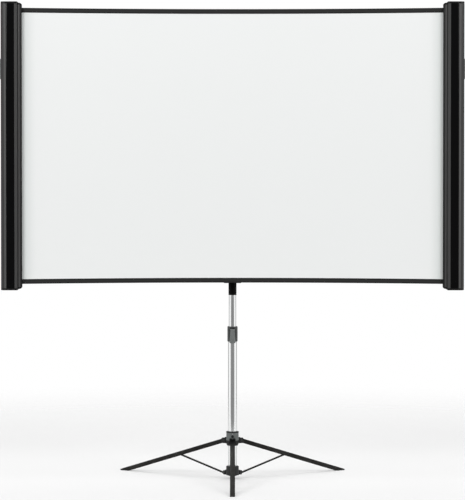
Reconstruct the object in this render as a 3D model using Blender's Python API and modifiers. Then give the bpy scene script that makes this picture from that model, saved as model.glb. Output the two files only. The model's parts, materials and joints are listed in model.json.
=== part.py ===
"""Portable projection screen on a folding tripod.

Two housings with spring rollers stretch a sheet between them. Elbow arms behind the sheet carry the
housings and fold them together. A telescopic mast with a flip lock stands on three braced legs.
Metres, +Z up. The viewer stands on the -Y side, and the origin lies on the floor under the middle.
"""
import math

import bmesh
import bpy
from mathutils import Matrix, Vector

# Clearances
GAP = 0.0003               # between faces that meet
TURN_GAP = 0.0003          # round a pin in its hole
OVERRUN = 0.004            # cutters run past what they cut

# Facets
ROUND_STEPS = 24
PIN_STEPS = 12
CORNER_STEPS = 4
EDGE_STEPS = 2
BOW_STEPS = 12
CROWN_STEPS = 8
FLUTE_STEPS = 4
WELD_DISTANCE = 0.00001
FLAT_SHARE = 0.99          # a face this square to the thickness is a cap
SMOOTH_ANGLE = math.radians(35)
BEVEL_ANGLE = math.radians(40)

# Sheet: an 80 inch picture in 16:10 with a border above and below
SCREEN_HALF_SPAN = 0.9008  # from the mast to the middle of a housing
SHEET_FOOT = 0.806
SHEET_HEIGHT = 1.1265
SHEET_TOP = SHEET_FOOT + SHEET_HEIGHT
BORDER_HEIGHT = 0.0195
SHEET_BOW = 0.006          # both long edges draw in by this at the middle
SHEET_THICKNESS = 0.0005

# Housings, in u (outwards) and v (backwards) from the middle of the housing and the sheet
HOUSING_BELOW_SHEET = 0.024
HOUSING_ABOVE_SHEET = 0.0245
HOUSING_FOOT = SHEET_FOOT - HOUSING_BELOW_SHEET
HOUSING_TOP = SHEET_TOP + HOUSING_ABOVE_SHEET
HOUSING_WIDTH = 0.0856
HOUSING_FRONT = 0.028
HOUSING_BACK = 0.040
HOUSING_WALL = 0.0022
OUTER_RADIUS = 0.018
INNER_RADIUS = 0.005
CAP_THICKNESS = 0.008
CAP_EDGE = 0.0022
PLUG_DEPTH = 0.006
JAMB_WIDTH = 0.017
JAMB_DEPTH = 0.026
JAMB_DROP = 0.005          # the jamb stops this far short of the cap's face
JAMB_CORNER = 0.010
FLUTE_WIDTH = 0.0085
FLUTE_DEPTH = 0.0016
SLIT_WIDTH = 0.005
SLIT_MARGIN = 0.006
BAND_WIDTH = 0.0326
BAND_OFFSET = 0.0032
BAND_RECESS = 0.0014
BAND_CROWN = 0.0016
BAND_SHOULDER = 0.0012
GRIP_RISE = 0.859
GRIP_FOOT = HOUSING_FOOT + GRIP_RISE
GRIP_HEIGHT = 0.084
GRIP_WIDTH = 0.026
GRIP_THICKNESS = 0.0037
GRIP_OFFSET = 0.006

# Rollers
ROLLER_RADIUS = 0.015
ROLLER_WALL = 0.0012
ROLLER_END_GAP = 0.0015
ROLLER_PLUG = 0.012
SHAFT_RADIUS = 0.005
SHAFT_SEAT = 0.004
SPRING_WIRE = 0.0009
SPRING_LENGTH = 0.090
SPRING_TURNS = 8
SPRING_POINTS = 8

# Arms
ARM_THICKNESS = 0.010
ARM_HEIGHT = 0.020
ARM_GAP = 0.0005
ARM_STANDOFF = 0.0023      # housing back to outer arm
LOWER_ARM_RISE = 0.014     # above the sheet's foot
UPPER_ARM_DROP = 0.0205    # below the sheet's top
LOWER_ARM_Z = SHEET_FOOT + LOWER_ARM_RISE
UPPER_ARM_Z = SHEET_TOP - UPPER_ARM_DROP
PIVOT_RADIUS = 0.004
PIVOT_HEAD_RADIUS = 0.0062
PIVOT_HEAD = 0.0014
LUG_THICKNESS = 0.0017
LUG_WIDTH = 0.024

# Centre post and blocks
BLOCK_PIVOT = 0.020        # half of the distance between a block's two pivots
BLOCK_MARGIN = 0.018       # from a pivot to the block's side
BLOCK_WIDTH = 2 * (BLOCK_PIVOT + BLOCK_MARGIN)
BLOCK_DEPTH = 0.028
BLOCK_CORNER = 0.006
LOWER_BLOCK_RISE = 0.026   # above the lower arms' axis
UPPER_BLOCK_RISE = 0.012
UPPER_BLOCK_HEIGHT = 0.038
LOWER_BLOCK_TOP = LOWER_ARM_Z + LOWER_BLOCK_RISE
UPPER_BLOCK_TOP = UPPER_ARM_Z + UPPER_BLOCK_RISE
POST_RADIUS = 0.011
POST_WALL = 0.0015
POST_CROWN = 0.002         # the post's top stands this far above the upper block

# Mast
LOWER_TUBE_RADIUS = 0.018
UPPER_TUBE_RADIUS = 0.015
TUBE_WALL = 0.0015
UPPER_TUBE_FOOT = 0.180
HEAD_DROP = 0.014          # below the lower arms' axis
HEAD_HEIGHT = 0.049
HEAD_TOP = LOWER_ARM_Z - HEAD_DROP
HEAD_FOOT = HEAD_TOP - HEAD_HEIGHT
TUBE_SHOWN = 0.157         # the upper tube between the lower one and the head
LOWER_TUBE_TOP = HEAD_FOOT - TUBE_SHOWN
HEAD_RADIUS = 0.0165
HEAD_TUBE_DEPTH = 0.028
HEAD_EDGE = 0.0012
POST_SINK = 0.012          # the post's foot hangs this far below the head
POST_FOOT = HEAD_FOOT - POST_SINK
BUSH_HEIGHT = 0.015
BUSH_INSERT = 0.015
BUSH_BORE = 0.008
PLUG_FLANGE = 0.0015
PLUG_INSERT = 0.014
PLUG_BORE = 0.005

# Flip lock
LOCK_GRIP = 0.035          # its length on the lower tube
LOCK_NECK = 0.028          # its length above that tube's top
LOCK_FOOT = LOWER_TUBE_TOP - LOCK_GRIP
LOCK_TOP = LOWER_TUBE_TOP + LOCK_NECK
LOCK_RADIUS = 0.021
LOCK_EDGE = 0.002
LOCK_BOSS_WIDTH = 0.030
LOCK_BOSS_REACH = 0.0255   # from the mast's axis to the face of the boss
LOCK_BOSS_BACK = 0.010     # its back, inside the collar's wall
LOCK_BOSS_MARGIN = 0.0015
LOCK_BOSS_CORNER = 0.012
LEVER_WIDTH = 0.017
LEVER_FOOT_WIDTH = 0.027
LEVER_THICKNESS = 0.0045
LEVER_TAIL = 0.0045        # the lever's end hangs this far below the collar
LEVER_EYE_RISE = 0.015     # above the lower tube's top
LEVER_FOOT = LOCK_FOOT - LEVER_TAIL
LEVER_EYE_Z = LOWER_TUBE_TOP + LEVER_EYE_RISE
LEVER_EYE_SETBACK = 0.002  # eye's axis behind the face of the boss
LEVER_EYE_RADIUS = 0.0042
LEVER_EYE_WIDTH = 0.018
POCKET_ABOVE_EYE = 0.0085
POCKET_BELOW_EYE = 0.0084
POCKET_CORNER = 0.002
LEVER_PIN_RADIUS = 0.0014

# Tripod: links of equal length keep the hub level, with hub and collar pivots at one radius
LEG_PIVOT_RADIUS = 0.036
HUB_PIVOT_Z = 0.157
COLLAR_PIVOT_Z = 0.020
FOOT_REACH = 0.540
LINK_SHARE = 0.454365      # of the way from a leg's pivot out to its tip
LINK_SPAN = LINK_SHARE * (FOOT_REACH - LEG_PIVOT_RADIUS)   # from a collar pivot out to the strut's in the leg
FOOT_FLAT = 0.038
LEG_WIDTH = 0.020
LEG_DEPTH = 0.017
LEG_WALL = 0.0013
SOLE_THICKNESS = 0.003
FOOT_PLATE = 0.003
FOOT_PLUG = 0.040
STRUT_WIDTH = 0.010
STRUT_HEIGHT = 0.0054
STRUT_PIN_RADIUS = 0.0015
RIVET_HEAD_RADIUS = 0.003
RIVET_HEAD = 0.0012
HUB_PIN_RADIUS = 0.002
HUB_HEIGHT_ABOVE = 0.038   # these four are measured from the legs' pivots
HUB_DEPTH_BELOW = 0.020
HUB_EAR_ABOVE = 0.011
HUB_EAR_BELOW = 0.012
HUB_TOP = HUB_PIVOT_Z + HUB_HEIGHT_ABOVE
HUB_FOOT = HUB_PIVOT_Z - HUB_DEPTH_BELOW
HUB_EAR_TOP = HUB_PIVOT_Z + HUB_EAR_ABOVE
HUB_EAR_FOOT = HUB_PIVOT_Z - HUB_EAR_BELOW
HUB_RADIUS = 0.0255
HUB_EDGE = 0.0015
HUB_LIP = 0.004
HUB_LIP_GROWTH = 0.0006
HUB_WAIST_RADIUS = 0.0225
HUB_EAR_MARGIN = 0.010     # from a pivot to the ear's end
HUB_EAR_WALL = 0.003
HUB_SLOT_START = 0.0265
KNOB_RISE = 0.0195
KNOB_Z = HUB_PIVOT_Z + KNOB_RISE
KNOB_RADIUS = 0.0055
KNOB_LENGTH = 0.008
KNOB_STEM_RADIUS = 0.0022
COLLAR_RADIUS = 0.026
COLLAR_HEIGHT_ABOVE = 0.032   # these three are measured from the struts' pivots
COLLAR_DEPTH_BELOW = 0.0055
COLLAR_EAR_ABOVE = 0.013
COLLAR_TOP = COLLAR_PIVOT_Z + COLLAR_HEIGHT_ABOVE
COLLAR_FOOT = COLLAR_PIVOT_Z - COLLAR_DEPTH_BELOW
COLLAR_EAR_TOP = COLLAR_PIVOT_Z + COLLAR_EAR_ABOVE
COLLAR_EDGE = 0.0015
COLLAR_EAR_MARGIN = 0.0055
COLLAR_EAR_WALL = 0.0033
COLLAR_SLOT_START = 0.0305
TUBE_TAIL = 0.0005         # the lower tube's end below the collar
LOWER_TUBE_FOOT = COLLAR_FOOT - TUBE_TAIL
LEG_DIRECTIONS = {"front": -90.0, "right": 30.0, "left": 150.0}

# Worked out from the sizes above
POST_SETBACK = HOUSING_BACK + ARM_STANDOFF + 2 * ARM_THICKNESS + ARM_GAP + GAP + BLOCK_DEPTH / 2
MAST_Y = (FOOT_REACH / 2 - LEG_WIDTH / 2 * math.cos(math.radians(30))) / 2
SHEET_Y = MAST_Y - POST_SETBACK
OUTER_ARM_FRONT = HOUSING_BACK + ARM_STANDOFF
INNER_ARM_FRONT = OUTER_ARM_FRONT + ARM_THICKNESS + ARM_GAP
BLOCK_FRONT = INNER_ARM_FRONT + ARM_THICKNESS + GAP
ARM_LENGTH = (SCREEN_HALF_SPAN - BLOCK_PIVOT) / 2
SHELL_FOOT = HOUSING_FOOT + CAP_THICKNESS + GAP
SHELL_TOP = HOUSING_TOP - CAP_THICKNESS - GAP
OUTER_U = HOUSING_WIDTH / 2
BODY_INNER_U = -OUTER_U + JAMB_WIDTH
ROLLER_V = ROLLER_RADIUS + GAP + SHEET_THICKNESS / 2
STRUT_PIVOT_RADIUS = LEG_PIVOT_RADIUS + LINK_SPAN
STRUT_PIVOT_Z = (HUB_PIVOT_Z + COLLAR_PIVOT_Z) / 2
HUB_PIVOT = (LEG_PIVOT_RADIUS, HUB_PIVOT_Z)
COLLAR_PIVOT = (LEG_PIVOT_RADIUS, COLLAR_PIVOT_Z)
STRUT_PIVOT = (STRUT_PIVOT_RADIUS, STRUT_PIVOT_Z)
HUB_EAR_REACH = LEG_PIVOT_RADIUS + HUB_EAR_MARGIN
HUB_EAR_WIDTH = LEG_WIDTH + 2 * HUB_EAR_WALL
COLLAR_EAR_REACH = LEG_PIVOT_RADIUS + COLLAR_EAR_MARGIN
COLLAR_EAR_WIDTH = STRUT_WIDTH + 2 * COLLAR_EAR_WALL

# Finishes: colour, roughness, metallic
FINISHES = {
    "housing": ((0.045, 0.045, 0.048, 1), 0.42, 0.2),
    "jamb_grey": ((0.045, 0.045, 0.048, 1), 0.42, 0.0),
    "gloss_black": ((0.006, 0.006, 0.007, 1), 0.08, 0.0),
    "cap_black": ((0.012, 0.012, 0.013, 1), 0.35, 0.0),
    "white_sheet": ((0.87, 0.88, 0.87, 1), 0.85, 0.0),
    "black_border": ((0.02, 0.02, 0.02, 1), 0.8, 0.0),
    "tube_bright": ((0.75, 0.76, 0.76, 1), 0.18, 1.0),
    "steel": ((0.55, 0.55, 0.56, 1), 0.3, 1.0),
    "aluminium": ((0.6, 0.6, 0.61, 1), 0.4, 1.0),
    "black_plastic": ((0.02, 0.022, 0.023, 1), 0.45, 0.0),
    "grey_plastic": ((0.13, 0.14, 0.145, 1), 0.45, 0.0),
    "leg_black": ((0.025, 0.025, 0.026, 1), 0.35, 0.1),
    "rubber": ((0.01, 0.01, 0.01, 1), 0.8, 0.0),
}


def emptied_scene():
    for obj in list(bpy.data.objects):
        bpy.data.objects.remove(obj, do_unlink=True)


def new_collection(name):
    collection = bpy.data.collections.new(name)
    bpy.context.scene.collection.children.link(collection)
    return collection


emptied_scene()
PARTS = new_collection("projection_screen")
CUTTERS = new_collection("cutters")


def finish_named(name):
    """The material of a finish, made once."""
    if name in bpy.data.materials:
        return bpy.data.materials[name]
    colour, roughness, metallic = FINISHES[name]
    material = bpy.data.materials.new(name)
    material.use_nodes = True
    shader = material.node_tree.nodes["Principled BSDF"]
    shader.inputs["Base Color"].default_value = colour
    shader.inputs["Roughness"].default_value = roughness
    shader.inputs["Metallic"].default_value = metallic
    return material


def linked(name, mesh, origin=(0, 0, 0)):
    """A new object whose mesh is drawn in the assembly's frame, with its own origin at a chosen point."""
    mesh.transform(Matrix.Translation(-Vector(origin)))
    obj = bpy.data.objects.new(name, mesh)
    obj.location = origin
    PARTS.objects.link(obj)
    return obj


def drawn(name, bm, origin=(0, 0, 0)):
    bmesh.ops.recalc_face_normals(bm, faces=bm.faces)
    mesh = bpy.data.meshes.new(name)
    bm.to_mesh(mesh)
    bm.free()
    return linked(name, mesh, origin)


def smoothed(obj):
    obj.data.shade_smooth()
    obj.data.set_sharp_from_angle(angle=SMOOTH_ANGLE)
    return obj


def box(name, low, high, origin=(0, 0, 0), turn=None):
    """A box between two corners, turned by a matrix if one is given."""
    low, high = Vector(low), Vector(high)
    bm = bmesh.new()
    bmesh.ops.create_cube(bm, size=1)
    bmesh.ops.scale(bm, vec=high - low, verts=bm.verts)
    bmesh.ops.translate(bm, vec=(low + high) / 2, verts=bm.verts)
    if turn:
        bmesh.ops.transform(bm, matrix=turn, verts=bm.verts)
    return drawn(name, bm, origin)


def rod(name, radius, start, end, origin=(0, 0, 0), steps=PIN_STEPS):
    """A round bar from one point to another."""
    start, end = Vector(start), Vector(end)
    along = end - start
    bm = bmesh.new()
    bmesh.ops.create_cone(
        bm, cap_ends=True, segments=steps, radius1=radius, radius2=radius, depth=along.length
    )
    turn = Vector((0, 0, 1)).rotation_difference(along).to_matrix().to_4x4()
    bmesh.ops.transform(bm, matrix=Matrix.Translation((start + end) / 2) @ turn, verts=bm.verts)
    return smoothed(drawn(name, bm, origin))


def upright(name, radius, foot, top):
    """A round cutter on the mast's axis, with its flats at the radius, half a step round from turned pieces."""
    half_step = math.pi / ROUND_STEPS
    bar = rod(name, radius / math.cos(half_step), (0, 0, foot), (0, 0, top), steps=ROUND_STEPS)
    bar.data.transform(Matrix.Translation((0, MAST_Y, 0)) @ Matrix.Rotation(half_step, 4, "Z"))
    return bar


def hole_radius(radius, steps=PIN_STEPS):
    """The corner radius of a faceted hole that clears a round pin, however the pin is turned."""
    return (radius + TURN_GAP) / math.cos(math.pi / steps)


def turned(name, profile, centre, origin=(0, 0, 0), steps=ROUND_STEPS):
    """A ring turned about a vertical axis. The profile (radius, z) runs down its outer side and up inside."""
    mesh = bpy.data.meshes.new(name)
    edges = [(i, (i + 1) % len(profile)) for i in range(len(profile))]
    mesh.from_pydata([(radius, 0, z) for radius, z in profile], edges, [])
    obj = bpy.data.objects.new(name, mesh)
    screw = obj.modifiers.new("Turn", "SCREW")
    screw.axis = "Z"
    screw.steps = steps
    screw.render_steps = steps
    screw.use_merge_vertices = True
    screw.merge_threshold = WELD_DISTANCE
    PARTS.objects.link(obj)
    mesh = evaluated_mesh(obj)
    bpy.data.objects.remove(obj)
    mesh.name = name
    mesh.transform(Matrix.Translation((centre[0], centre[1], 0)))
    return smoothed(linked(name, mesh, origin))


def evaluated_mesh(obj):
    graph = bpy.context.evaluated_depsgraph_get()
    return bpy.data.meshes.new_from_object(obj.evaluated_get(graph))


FRONT_PLANE = Matrix(((1, 0, 0, 0), (0, 0, -1, 0), (0, 1, 0, 0), (0, 0, 0, 1)))
PLAN = Matrix.Identity(4)


def prism(name, outline, low, high, plane, origin=(0, 0, 0), turn=None):
    """A flat outline given a thickness from low to high.

    In PLAN the outline is drawn in X and Y and thickened along Z. In FRONT_PLANE it is drawn in X and
    Z and thickened along Y.
    """
    curve = bpy.data.curves.new(name, "CURVE")
    curve.dimensions = "2D"
    curve.fill_mode = "BOTH"
    curve.extrude = (high - low) / 2
    spline = curve.splines.new("POLY")
    spline.points.add(len(outline) - 1)
    for point, (x, y) in zip(spline.points, outline):
        point.co = (x, y, 0, 1)
    spline.use_cyclic_u = True
    obj = bpy.data.objects.new(name, curve)
    PARTS.objects.link(obj)
    mesh = evaluated_mesh(obj)
    bpy.data.objects.remove(obj)
    bm = bmesh.new()
    bm.from_mesh(mesh)
    bmesh.ops.remove_doubles(bm, verts=bm.verts, dist=WELD_DISTANCE)
    bm.normal_update()
    inside_caps = [
        edge for edge in bm.edges if all(abs(face.normal.z) > FLAT_SHARE for face in edge.link_faces)
    ]
    bmesh.ops.dissolve_edges(bm, edges=inside_caps, use_verts=False)
    middle = (low + high) / 2
    shift = Vector((0, middle, 0)) if plane is FRONT_PLANE else Vector((0, 0, middle))
    bmesh.ops.transform(bm, matrix=Matrix.Translation(shift) @ plane, verts=bm.verts)
    if turn:
        bmesh.ops.transform(bm, matrix=turn, verts=bm.verts)
    return smoothed(drawn(name, bm, origin))


def rounded(corners, steps=CORNER_STEPS):
    """An outline's corners (x, y, radius), each with a radius replaced by its arc."""
    points = []
    for i, (x, y, radius) in enumerate(corners):
        here = Vector((x, y))
        if not radius:
            points.append((x, y))
            continue
        before = (Vector(corners[i - 1][:2]) - here).normalized()
        after = (Vector(corners[(i + 1) % len(corners)][:2]) - here).normalized()
        half = before.angle(after) / 2
        centre = here + (before + after).normalized() * radius / math.sin(half)
        first = here + before * radius / math.tan(half) - centre
        last = here + after * radius / math.tan(half) - centre
        sweep = math.atan2(first.x * last.y - first.y * last.x, first.dot(last))
        for step in range(steps + 1):
            angle = math.atan2(first.y, first.x) + sweep * step / steps
            points.append((centre.x + radius * math.cos(angle), centre.y + radius * math.sin(angle)))
    return points


def stadium(start, end, half_height, steps=PIN_STEPS // 2):
    """The outline of a bar with round ends about two points."""
    start, end = Vector(start), Vector(end)
    along = math.atan2(end.y - start.y, end.x - start.x)
    points = []
    for centre, first in ((end, along - math.pi / 2), (start, along + math.pi / 2)):
        for step in range(steps + 1):
            angle = first + math.pi * step / steps
            points.append((
                centre.x + half_height * math.cos(angle),
                centre.y + half_height * math.sin(angle),
            ))
    return points


def combined(obj, tools, operation):
    """The object with tools cut from it, joined to it or crossed with it. The tools stay hidden."""
    for tool in tools:
        modifier = obj.modifiers.new(tool.name, "BOOLEAN")
        modifier.operation = operation
        modifier.object = tool
        PARTS.objects.unlink(tool)
        CUTTERS.objects.link(tool)
        tool.hide_render = True
        tool.display_type = "WIRE"
    return obj


def cut(obj, *tools):
    return combined(obj, tools, "DIFFERENCE")


def joined(obj, *tools):
    return combined(obj, tools, "UNION")


def crossed(obj, *tools):
    return combined(obj, tools, "INTERSECT")


def settled(obj):
    """The object with its modifiers applied, so that copies can share its mesh, and its tools removed."""
    tools = [modifier.object for modifier in obj.modifiers if modifier.type == "BOOLEAN"]
    obj.data = evaluated_mesh(obj)
    obj.modifiers.clear()
    for tool in tools:
        bpy.data.objects.remove(tool)
    return smoothed(obj)


def edged(obj, width, segments=EDGE_STEPS):
    """Round edges, before any cuts."""
    bevel = obj.modifiers.new("Edges", "BEVEL")
    bevel.width = width
    bevel.segments = segments
    bevel.limit_method = "ANGLE"
    bevel.angle_limit = BEVEL_ANGLE
    return obj


def coloured(obj, name):
    obj.data.materials.clear()
    obj.data.materials.append(finish_named(name))
    return obj


# Sheet and borders

def edge_height(x, edge_z, inward):
    """The height of a long edge of the sheet at x, drawn in most at the middle."""
    return edge_z + inward * SHEET_BOW * (1 - (x / SCREEN_HALF_SPAN) ** 2)


def bowed_edge(edge_z, inward, rightwards):
    xs = [SCREEN_HALF_SPAN * (2 * step / BOW_STEPS - 1) for step in range(BOW_STEPS + 1)]
    if not rightwards:
        xs.reverse()
    return [(x, edge_height(x, edge_z, inward)) for x in xs]


def strip_between(name, low, low_inward, high, high_inward, finish):
    outline = bowed_edge(low, low_inward, True) + bowed_edge(high, high_inward, False)
    half = SHEET_THICKNESS / 2
    strip = prism(name, outline, SHEET_Y - half, SHEET_Y + half, FRONT_PLANE)
    return coloured(strip, finish)


def make_sheet():
    low, high = SHEET_FOOT + BORDER_HEIGHT, SHEET_TOP - BORDER_HEIGHT
    strip_between("lower_border", SHEET_FOOT, 1, low, 1, "black_border")
    strip_between("upper_border", high, -1, SHEET_TOP, -1, "black_border")
    strip_between("projection_sheet", low + GAP, 1, high - GAP, -1, "white_sheet")


# Housings

def placed_section(outline, side):
    """An outline in u and v, put at one side of the screen."""
    return [(side * (SCREEN_HALF_SPAN + u), SHEET_Y + v) for u, v in outline]


def body_corners(inset, recessed):
    """The corners of a housing's section, drawn in by inset, with or without the band's recess."""
    inner, outer = BODY_INNER_U + inset, OUTER_U - inset
    front, back = -HOUSING_FRONT + inset, HOUSING_BACK - inset
    inner_radius, outer_radius = INNER_RADIUS - inset, OUTER_RADIUS - inset
    corners = [(inner, front, inner_radius)]
    if recessed:
        low, high = BAND_OFFSET - BAND_WIDTH / 2, BAND_OFFSET + BAND_WIDTH / 2
        corners += [
            (low - BAND_SHOULDER, front, 0),
            (low, front + BAND_RECESS, 0),
            (high, front + BAND_RECESS, 0),
            (high + BAND_SHOULDER, front, 0),
        ]
    corners += [
        (outer, front, outer_radius),
        (outer, back, outer_radius),
        (inner, back, inner_radius),
    ]
    return rounded(corners)


def make_shell(name, side):
    """The extruded body of a housing, hollow for the roller and slit for the sheet."""
    shell = prism(name, placed_section(body_corners(0, True), side), SHELL_FOOT, SHELL_TOP, PLAN)
    hollow = prism(
        f"{name}_hollow",
        placed_section(body_corners(HOUSING_WALL, False), side),
        SHELL_FOOT - OVERRUN,
        SHELL_TOP + OVERRUN,
        PLAN,
    )
    inner_x = side * (SCREEN_HALF_SPAN + BODY_INNER_U)
    slit = box(
        f"{name}_slit",
        (inner_x - 2 * HOUSING_WALL, SHEET_Y - SLIT_WIDTH / 2, SHEET_FOOT - SLIT_MARGIN),
        (inner_x + 2 * HOUSING_WALL, SHEET_Y + SLIT_WIDTH / 2, SHEET_TOP + SLIT_MARGIN),
    )
    return coloured(cut(shell, hollow, slit), "housing")


def make_band(name, side):
    """The gloss strip in the housing's front, with a crowned face."""
    low = BAND_OFFSET - BAND_WIDTH / 2 + GAP
    high = BAND_OFFSET + BAND_WIDTH / 2 - GAP
    seat = -HOUSING_FRONT + BAND_RECESS - GAP
    front = []
    for step in range(CROWN_STEPS + 1):
        share = step / CROWN_STEPS
        rise = BAND_CROWN * (1 - (2 * share - 1) ** 2)
        front.append((low + (high - low) * share, -HOUSING_FRONT + GAP - rise))
    outline = [(low, seat)] + front + [(high, seat)]
    band = prism(name, placed_section(outline, side), SHELL_FOOT, SHELL_TOP, PLAN)
    return coloured(band, "gloss_black")


def make_jamb(name, side):
    """The mouth of the housing: a fluted bar with the slit that the sheet runs through."""
    inner, outer = -OUTER_U, BODY_INNER_U - GAP
    half = JAMB_DEPTH / 2
    middle = (inner + outer) / 2
    flute = []
    for step in range(FLUTE_STEPS + 1):
        share = step / FLUTE_STEPS
        sink = FLUTE_DEPTH * (1 - (2 * share - 1) ** 2)
        flute.append((middle + FLUTE_WIDTH * (share - 1 / 2), -half + sink, 0))
    corners = [(inner, -half, INNER_RADIUS / 2)] + flute + [
        (outer, -half, 0),
        (outer, half, 0),
        (inner, half, INNER_RADIUS),
    ]
    foot, top = HOUSING_FOOT + JAMB_DROP, HOUSING_TOP - JAMB_DROP
    jamb = prism(name, placed_section(rounded(corners), side), foot, top, PLAN)
    mouth_x = side * (SCREEN_HALF_SPAN + inner)
    body_x = side * (SCREEN_HALF_SPAN + outer + OVERRUN)
    corner_outline = rounded([
        (mouth_x, foot, JAMB_CORNER),
        (body_x, foot, 0),
        (body_x, top, 0),
        (mouth_x, top, JAMB_CORNER),
    ])
    corner_tool = prism(
        f"{name}_corners", corner_outline, SHEET_Y - JAMB_DEPTH, SHEET_Y + JAMB_DEPTH, FRONT_PLANE
    )
    near, far = sorted((mouth_x, body_x))
    slit = box(
        f"{name}_slit",
        (near - OVERRUN, SHEET_Y - SLIT_WIDTH / 2, SHEET_FOOT - SLIT_MARGIN),
        (far + OVERRUN, SHEET_Y + SLIT_WIDTH / 2, SHEET_TOP + SLIT_MARGIN),
    )
    return coloured(cut(crossed(jamb, corner_tool), slit), "jamb_grey")


def make_cap(name, side, upper):
    """An end cap with a plug inside the shell, a seat for the roller's shaft and the lug of an arm."""
    sign = 1 if upper else -1
    outer_face = HOUSING_TOP if upper else HOUSING_FOOT
    inner_face = outer_face - sign * CAP_THICKNESS
    plug_face = inner_face - sign * PLUG_DEPTH
    arm_z = UPPER_ARM_Z if upper else LOWER_ARM_Z
    centre_x = side * SCREEN_HALF_SPAN
    back = SHEET_Y + HOUSING_BACK
    body_section = placed_section(body_corners(0, False), side)
    cap = edged(prism(name, body_section, *sorted((outer_face, inner_face)), PLAN), CAP_EDGE)
    plug_section = placed_section(body_corners(HOUSING_WALL + GAP, False), side)
    plug_z = sorted((plug_face, inner_face + sign * CAP_THICKNESS / 2))
    plug = prism(f"{name}_plug", plug_section, *plug_z, PLAN)
    seat = rod(
        f"{name}_seat",
        hole_radius(SHAFT_RADIUS),
        (centre_x, SHEET_Y + ROLLER_V, plug_face - sign * OVERRUN),
        (centre_x, SHEET_Y + ROLLER_V, plug_face + sign * (PLUG_DEPTH + SHAFT_SEAT)),
    )
    plate_z = sorted((outer_face - sign * CAP_EDGE, inner_face))
    bridge = box(
        f"{name}_bridge",
        (centre_x - LUG_WIDTH / 2, back - CAP_THICKNESS, plate_z[0]),
        (centre_x + LUG_WIDTH / 2, back + GAP + LUG_THICKNESS, plate_z[1]),
    )
    lug_z = sorted((outer_face - sign * CAP_EDGE, arm_z - sign * ARM_HEIGHT / 2))
    lug = box(
        f"{name}_lug",
        (centre_x - LUG_WIDTH / 2, back + GAP, lug_z[0]),
        (centre_x + LUG_WIDTH / 2, back + GAP + LUG_THICKNESS, lug_z[1]),
    )
    pin_back = SHEET_Y + OUTER_ARM_FRONT + ARM_THICKNESS + GAP
    pin = rod(
        f"{name}_pin",
        PIVOT_RADIUS,
        (centre_x, back + GAP + LUG_THICKNESS / 2, arm_z),
        (centre_x, pin_back + PIVOT_HEAD / 2, arm_z),
    )
    head = rod(
        f"{name}_pin_head",
        PIVOT_HEAD_RADIUS,
        (centre_x, pin_back, arm_z),
        (centre_x, pin_back + PIVOT_HEAD, arm_z),
    )
    return coloured(cut(joined(cap, plug, bridge, lug, pin, head), seat), "cap_black")


def make_roller(name, side):
    """The spring roller: a tube whose end plugs turn on the shaft."""
    foot = SHELL_FOOT + PLUG_DEPTH + ROLLER_END_GAP
    top = SHELL_TOP - PLUG_DEPTH - ROLLER_END_GAP
    bore = SHAFT_RADIUS + TURN_GAP
    inside = ROLLER_RADIUS - ROLLER_WALL
    profile = [
        (ROLLER_RADIUS, top),
        (ROLLER_RADIUS, foot),
        (bore, foot),
        (bore, foot + ROLLER_PLUG),
        (inside, foot + ROLLER_PLUG),
        (inside, top - ROLLER_PLUG),
        (bore, top - ROLLER_PLUG),
        (bore, top),
    ]
    centre = (side * SCREEN_HALF_SPAN, SHEET_Y + ROLLER_V)
    return coloured(turned(name, profile, centre, (*centre, (foot + top) / 2)), "aluminium")


def make_shaft(name, side):
    x, y = side * SCREEN_HALF_SPAN, SHEET_Y + ROLLER_V
    foot = HOUSING_FOOT + CAP_THICKNESS - SHAFT_SEAT + GAP
    top = HOUSING_TOP - CAP_THICKNESS + SHAFT_SEAT - GAP
    return coloured(rod(name, SHAFT_RADIUS, (x, y, foot), (x, y, top), steps=ROUND_STEPS), "aluminium")


def make_spring(name, side):
    """The torsion spring wound round the shaft inside the roller."""
    foot = SHELL_FOOT + PLUG_DEPTH + ROLLER_END_GAP + ROLLER_PLUG + GAP + SPRING_WIRE
    radius = (SHAFT_RADIUS + TURN_GAP + SPRING_WIRE) / math.cos(math.pi / SPRING_POINTS)
    x, y = side * SCREEN_HALF_SPAN, SHEET_Y + ROLLER_V
    curve = bpy.data.curves.new(name, "CURVE")
    curve.dimensions = "3D"
    curve.bevel_depth = SPRING_WIRE
    curve.bevel_resolution = 0
    curve.use_fill_caps = True
    spline = curve.splines.new("POLY")
    count = SPRING_TURNS * SPRING_POINTS + 1
    spline.points.add(count - 1)
    for i, point in enumerate(spline.points):
        angle = side * 2 * math.pi * i / SPRING_POINTS
        point.co = (
            x + radius * math.cos(angle),
            y + radius * math.sin(angle),
            foot + SPRING_LENGTH * i / (count - 1),
            1,
        )
    obj = bpy.data.objects.new(name, curve)
    PARTS.objects.link(obj)
    return coloured(obj, "steel")


def make_grip(name, side):
    outer = SCREEN_HALF_SPAN + OUTER_U
    low, high = sorted((side * (outer + GAP), side * (outer + GAP + GRIP_THICKNESS)))
    grip = box(
        name,
        (low, SHEET_Y + GRIP_OFFSET - GRIP_WIDTH / 2, GRIP_FOOT),
        (high, SHEET_Y + GRIP_OFFSET + GRIP_WIDTH / 2, GRIP_FOOT + GRIP_HEIGHT),
    )
    return coloured(edged(grip, GRIP_THICKNESS / 3), "cap_black")


def make_housings():
    for word, side in (("left", -1), ("right", 1)):
        make_shell(f"housing_{word}", side)
        make_band(f"front_band_{word}", side)
        make_jamb(f"jamb_{word}", side)
        make_cap(f"top_cap_{word}", side, True)
        make_cap(f"bottom_cap_{word}", side, False)
        make_roller(f"roller_{word}", side)
        make_shaft(f"roller_shaft_{word}", side)
        make_spring(f"roller_spring_{word}", side)
        make_grip(f"side_grip_{word}", side)


# Arms, blocks and post

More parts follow.
